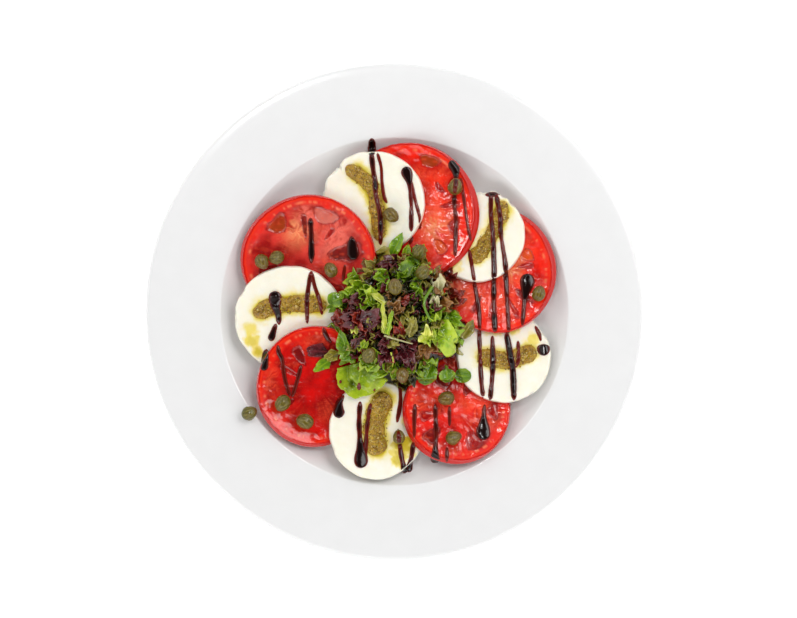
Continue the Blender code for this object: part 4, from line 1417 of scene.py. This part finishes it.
# Painted shade: the heap's shade colour, mottled with olive and purple.
tint = HEAP_SHADE + np.zeros((*x.shape, 3))
tint = blend(tint, LEAF_TONES["olive"][0], 0.6 * fade(mottle(x, y, 0.004, 65), 0, 1))
tint = blend(tint, LEAF_TONES["purple"][0], 0.8 * fade(mottle(x, y, 0.005, 66), 0.1, 0.8))
upper = np.stack([x, y, np.maximum(z, ground + 0.0005)], axis=-1)
lower = np.stack([x, y, ground + 0.0003], axis=-1)
core_rings = np.concatenate([lower, upper[::-1]])[:, ::-1]
core_painted_shade = np.concatenate([tint, tint[::-1]])[:, ::-1]
core = shells("salad_core", [ringed(core_rings, {"leaf": core_painted_shade})])
serve(core, leaf_finish, "leaves", "salad_leaves")

chance = np.random.default_rng(2024)
whole = [leaf_part(leaf, chance, *WHOLE_GRID) for leaf in WHOLE_LEAVES]
whole += [stalk_part(stalk) for stalk in STALKS]
serve(shells("salad_whole_leaves", whole), leaf_finish, "leaves")
frilled = [leaf_part(leaf, chance, *FRILLED_GRID) for leaf in FRILLED_LEAVES]
serve(shells("salad_frilled_leaves", frilled), leaf_finish, "leaves")


def local_tone(x, y):
    """One of the tones that the scraps have in this part of the heap."""
    zone = min(ZONES, key=lambda zone: math.hypot(zone.x - x, zone.y - y))
    return zone.tones[chance.integers(len(zone.tones))]


scraps = []
for number in range(SCRAP_COUNT):
    out = SCRAP_REACH * math.sqrt((number + 0.5) / SCRAP_COUNT)
    angle = number * GOLDEN_ANGLE
    px = heap_middle[0] + out * math.cos(angle) + chance.normal(0, SCRAP_SCATTER)
    py = heap_middle[1] - 0.0010 + out * math.sin(angle) + chance.normal(0, SCRAP_SCATTER)
    length = chance.uniform(*SCRAP_LENGTHS)
    heading = math.degrees(angle) + chance.normal(0, 70)
    scrap = Leaf(
        "frill", px, py, heading, length, length * chance.uniform(0.7, 1.2), chance.uniform(-0.0050, 0.0010),
        chance.uniform(-10, 55), chance.normal(0, 28), chance.uniform(20, 100), local_tone(px, py),
    )
    scraps.append(leaf_part(scrap, chance, *SCRAP_GRID))

# Small leaves stand up under each caper on the heap and hold it.
chance = np.random.default_rng(2025)
for middle, radius in buds_on_heap:
    underside = middle[2] - radius
    stands = underside - float(from_grid(top_grid, middle[0], middle[1]))
    for number in range(SEAT_LEAVES if stands > SEAT_GAP else 0):
        angle = number * GOLDEN_ANGLE + chance.uniform(0, 1)
        px = middle[0] + 0.5 * radius * math.cos(angle)
        py = middle[1] + 0.5 * radius * math.sin(angle)
        height = underside - SEAT_CLEARANCE - stands * number / SEAT_LEAVES
        heading = math.degrees(angle) + chance.normal(0, 40)
        lift = height - float(from_grid(top_grid, px, py)) + LEAF_SINK
        roll = chance.normal(0, 20)
        seat = Leaf("frill", px, py, heading, SEAT_LEAF, SEAT_LEAF, lift, 20, roll, 60, local_tone(px, py))
        scraps.append(leaf_part(seat, chance, *SCRAP_GRID))
serve(shells("salad_scraps", scraps), leaf_finish, "leaves")

# ---- The balsamic glaze ------------------------------------------------------------------------------------
# Balsamic vinegar boiled down to a syrup, and run over the finished salad from a spoon in thin lines from the
# far side to the near one. It lies in round-topped beads, thick and black where a line starts or ends in a
# drop.

GLAZE_THICK = pigment(20, 3, 2)
GLAZE_THIN = pigment(112, 20, 5)
SPREADING = 1.12
BEAD_SHARE = 0.36
BEAD_TALLEST = 0.0014
BEAD_FULL = 0.0013
BEAD_SINK = 0.00025
RUN_IN = 0.0035
BEAD_STEP = 0.0006
BEAD_LEAST_STOPS = 14
BEAD_PLACES = 13
BEAD_SAG = 0.0004
DROP_BODY = 0.50
DROP_FADE = 0.85

# A line of glaze: its stops, its width, and how wide the drop at its start or its end is, in millimetres.
Run = namedtuple("Run", "stops width head tail", defaults=(0, 0))
RUNS = [
    # Over the far mozzarella slice.
    Run([(-13.5, 105), (-13.6, 98), (-13.8, 93)], 4.4),
    Run([(-14, 97.5), (-13, 87), (-11.5, 77.5), (-11, 69.5), (-9, 60.5), (-8.3, 54.5), (-8.3, 40)], 2.7),
    Run([(-10.4, 96), (-8, 87), (-7.4, 77.5), (-6.2, 69.5), (-4.4, 65)], 1.7),
    Run([(6.4, 87), (9.1, 77), (10.1, 64), (10.1, 48)], 2.4, 6.8),
    Run([(10.1, 79), (12.5, 67), (15.2, 56.5), (15.5, 49.5)], 1.7),
    Run([(11.3, 45), (8.8, 40.5)], 2.2),
    # Over the far tomato slice.
    Run([(34, 91), (37, 84), (36, 68), (37, 54), (36.5, 33)], 2.4, 6.8),
    Run([(40, 80.5), (42.5, 63), (44.5, 49), (46, 42.5)], 1.7),
    # Down the right side, over a mozzarella slice, a tomato slice and the next mozzarella slice.
    Run([(54.6, 70.5), (63.6, 70.8)], 3.4),
    Run([(58.2, 71), (58.2, 57.5), (59.4, 44), (60, 22), (60, 3.5), (60.6, -13)], 2.7),
    Run([(61.2, 71), (63.6, 57.5), (64.2, 46), (67, 26), (68, 7), (69, -13)], 2.4),
    Run([(45, 37.5), (46.5, 28.5), (48, 19), (51, 0.5), (51.3, -16.5), (52.2, -39.5), (53.4, -52)], 2.3),
    Run([(80.5, 23), (80, 16.5), (78.5, 7), (77, -8.5)], 2.3, 9.0),
    Run([(59.2, -14.5), (59.2, -35), (57.6, -53.5)], 2.7),
    Run([(67.6, -12.5), (69, -20.5), (70.2, -28.5), (71.4, -35), (72, -53.5)], 3.4),
    Run([(74.7, -17.5), (74.7, -28.5), (73, -34)], 2.3),
    Run([(85, -8.5), (87.4, -13.5), (88.4, -18)], 2.1),
    Run([(89.8, -19.5), (90, -26.5)], 3.4, 0, 7.8),
    Run([(70.2, -55.5), (70.2, -57.5)], 2.8),
    # Over the near tomato slice.
    Run([(12.5, -55.5), (12, -66.5), (12, -76)], 2.3),
    Run([(24.5, -55.5), (25, -66.5), (25, -76), (24.5, -88), (25.7, -91.7)], 2.3, 0, 5.8),
    Run([(33.3, -57), (33.3, -69)], 2.1),
    Run([(31.7, -81.5), (31.6, -90.5)], 2.1),
    Run([(54.6, -56), (54, -64), (53.7, -71.5), (53.7, -77.3)], 2.2, 0, 8.6),
    Run([(3.2, -42.5), (3.7, -54), (1.6, -67)], 2.3),
    # Over the near mozzarella slice.
    Run([(-30.3, -50), (-33.3, -55.5), (-33.3, -64)], 2.6, 0, 7.0),
    Run([(-20.6, -54), (-21.2, -66.5), (-20.6, -79), (-19.8, -94)], 2.7, 0, 8.6),
    Run([(-14.3, -55), (-15.8, -64), (-16.8, -74.5), (-17.6, -89)], 2.3),
    Run([(2.2, -70.5), (2.8, -76.5), (4.6, -89), (7, -98)], 2.4, 0, 4.6),
    Run([(11.7, -78), (10.1, -89), (8.2, -97.5)], 2.4, 0, 4.6),
    # Down the left side, over a tomato slice.
    Run([(-77.2, -22.5), (-78.7, -35.5)], 3.4, 0, 5.4),
    Run([(-70, -20), (-69.4, -25), (-67.6, -29), (-65.8, -41), (-62.8, -51)], 2.3),
    Run([(-56, -32), (-58.3, -41), (-61.6, -51.5)], 2.3),
    Run([(-43, -9.5), (-40.5, -15.5), (-38, -19)], 2.3),
    # Over the left mozzarella slice.
    Run([(-71.8, 12.4), (-71.5, 4.6), (-70, -1.4), (-69.4, -8)], 3.0, 8.0),
    Run([(-71.2, -7.2), (-74.8, -17.7)], 2.8, 0, 4.4),
    Run([(-50, 24.5), (-52.2, 10.6), (-52.5, 1), (-52.5, -7.2)], 2.4),
    Run([(-50, 24.5), (-47.7, 14.8), (-44.7, 5.8), (-43.5, -2)], 2.4),
    # Over the upper left tomato slice.
    Run([(-50.5, 56.5), (-50, 45), (-50, 29)], 3.2),
    Run([(-25.8, 45.5), (-25.2, 38.5), (-24.6, 31)], 4.0, 2.4, 7.6),
    Run([(-29.7, 28.5), (-31, 18.5)], 1.8),
    # Drops on the large leaf.
    Run([(-32.3, -41), (-32.5, -43.3)], 2.2),
    Run([(-21.2, -42.4), (-21.2, -47.2)], 2.7),
    Run([(-11.6, -46), (-12.2, -48)], 1.9),
    Run([(-21.2, -32.7), (-21.5, -35)], 2.3),
]

bpy.context.view_layer.update()
served = bpy.context.evaluated_depsgraph_get()


def drape(x, y):
    """Height of whatever lies uppermost at each point."""
    heights = np.zeros_like(x)
    for place in np.ndindex(x.shape):
        spot = Vector((x[place], y[place], cad_high.z + 0.01))
        hit = bpy.context.scene.ray_cast(served, spot, Vector((0, 0, -1)))
        heights[place] = hit[1].z
    return heights


def smoothed(values, turns):
    """Evens a grid out along its rows and, half as much, across them."""
    for turn in range(turns):
        inner = np.pad(values, ((1, 1), (0, 0)), mode="edge")
        values = 0.25 * inner[:-2] + 0.5 * inner[1:-1] + 0.25 * inner[2:]
        if turn % 2 == 0:
            inner = np.pad(values, ((0, 0), (1, 1)), mode="edge")
            values = 0.25 * inner[:, :-2] + 0.5 * inner[:, 1:-1] + 0.25 * inner[:, 2:]
    return values


def bead(run, number):
    """A line of glaze as one closed bead, laid over what is under it."""
    stops = np.array(run.stops, dtype=float) * MM
    length = float(np.linalg.norm(np.diff(stops, axis=0), axis=1).sum())
    count = max(int(length / BEAD_STEP), BEAD_LEAST_STOPS)
    line = smooth_line(stops, count)
    side = sideways(line)
    travel = np.linspace(0, length, count)
    swell = 1 + 0.20 * mottle(travel, 0 * travel, 0.0050, 31 + number)
    swell = swell * (0.60 + 0.40 * fade(travel, 0, RUN_IN) * fade(length - travel, 0, RUN_IN))
    swell = swell + 0.03 * mottle(travel, 0 * travel, 0.0015, 71 + number)
    width = run.width * MM * SPREADING * swell
    ends = ((run.head * MM, travel), (run.tail * MM, length - travel))
    for drop, away in ends:
        if drop:
            bulge = np.exp(-((np.maximum(away - DROP_BODY * drop, 0) / (DROP_FADE * drop)) ** 2))
            width = width + (drop - width) * bulge
    for drop, away in ends:
        tip = max(drop, run.width * MM * SPREADING) / 2
        width = width * np.sqrt(np.clip(1 - (1 - np.clip(away / tip, 0.01, 1)) ** 2, 0, 1))
    turn = np.linspace(0, np.pi, BEAD_PLACES)[None, :]
    across = -np.cos(turn)
    wobble = 1 + 0.05 * mottle(travel[:, None], 5 * np.sign(across), 0.0022, 91 + number)
    x = line[:, :1] + side[:, :1] * across * width[:, None] / 2 * wobble
    y = line[:, 1:2] + side[:, 1:2] * across * width[:, None] / 2 * wobble
    height = np.minimum(BEAD_SHARE * width, BEAD_TALLEST)[:, None] * np.sin(turn) ** 0.75
    under = drape(x, y)
    laid = np.maximum(smoothed(under, 8), smoothed(under, 1) - BEAD_SAG)
    upper = np.stack([x, y, laid + height], axis=-1)
    lower = np.stack([x, y, np.minimum(under, laid) - BEAD_SINK], axis=-1)
    deep = fade(height / BEAD_FULL, 0.40, 1.0)
    rings = np.concatenate([upper, lower[:, ::-1]], axis=1)
    return ringed(rings[:, ::-1], {"depth": np.concatenate([deep, deep[:, ::-1]], axis=1)[:, ::-1]})


balsamic = Finish("balsamic_glaze")
syrup = balsamic.noise(0.0022, detail=2.0)
balsamic.surface(
    Base_Color=balsamic.mix(balsamic.field("depth"), GLAZE_THIN, GLAZE_THICK),
    Roughness=balsamic.spread(syrup, 0.3, 0.7, 0.07, 0.15),
    IOR=1.40,
)
balsamic.bumps(syrup, 0.00005)
beads = [bead(run, number) for number, run in enumerate(RUNS)]
serve(shells("balsamic_lines", beads), balsamic, "pesto")
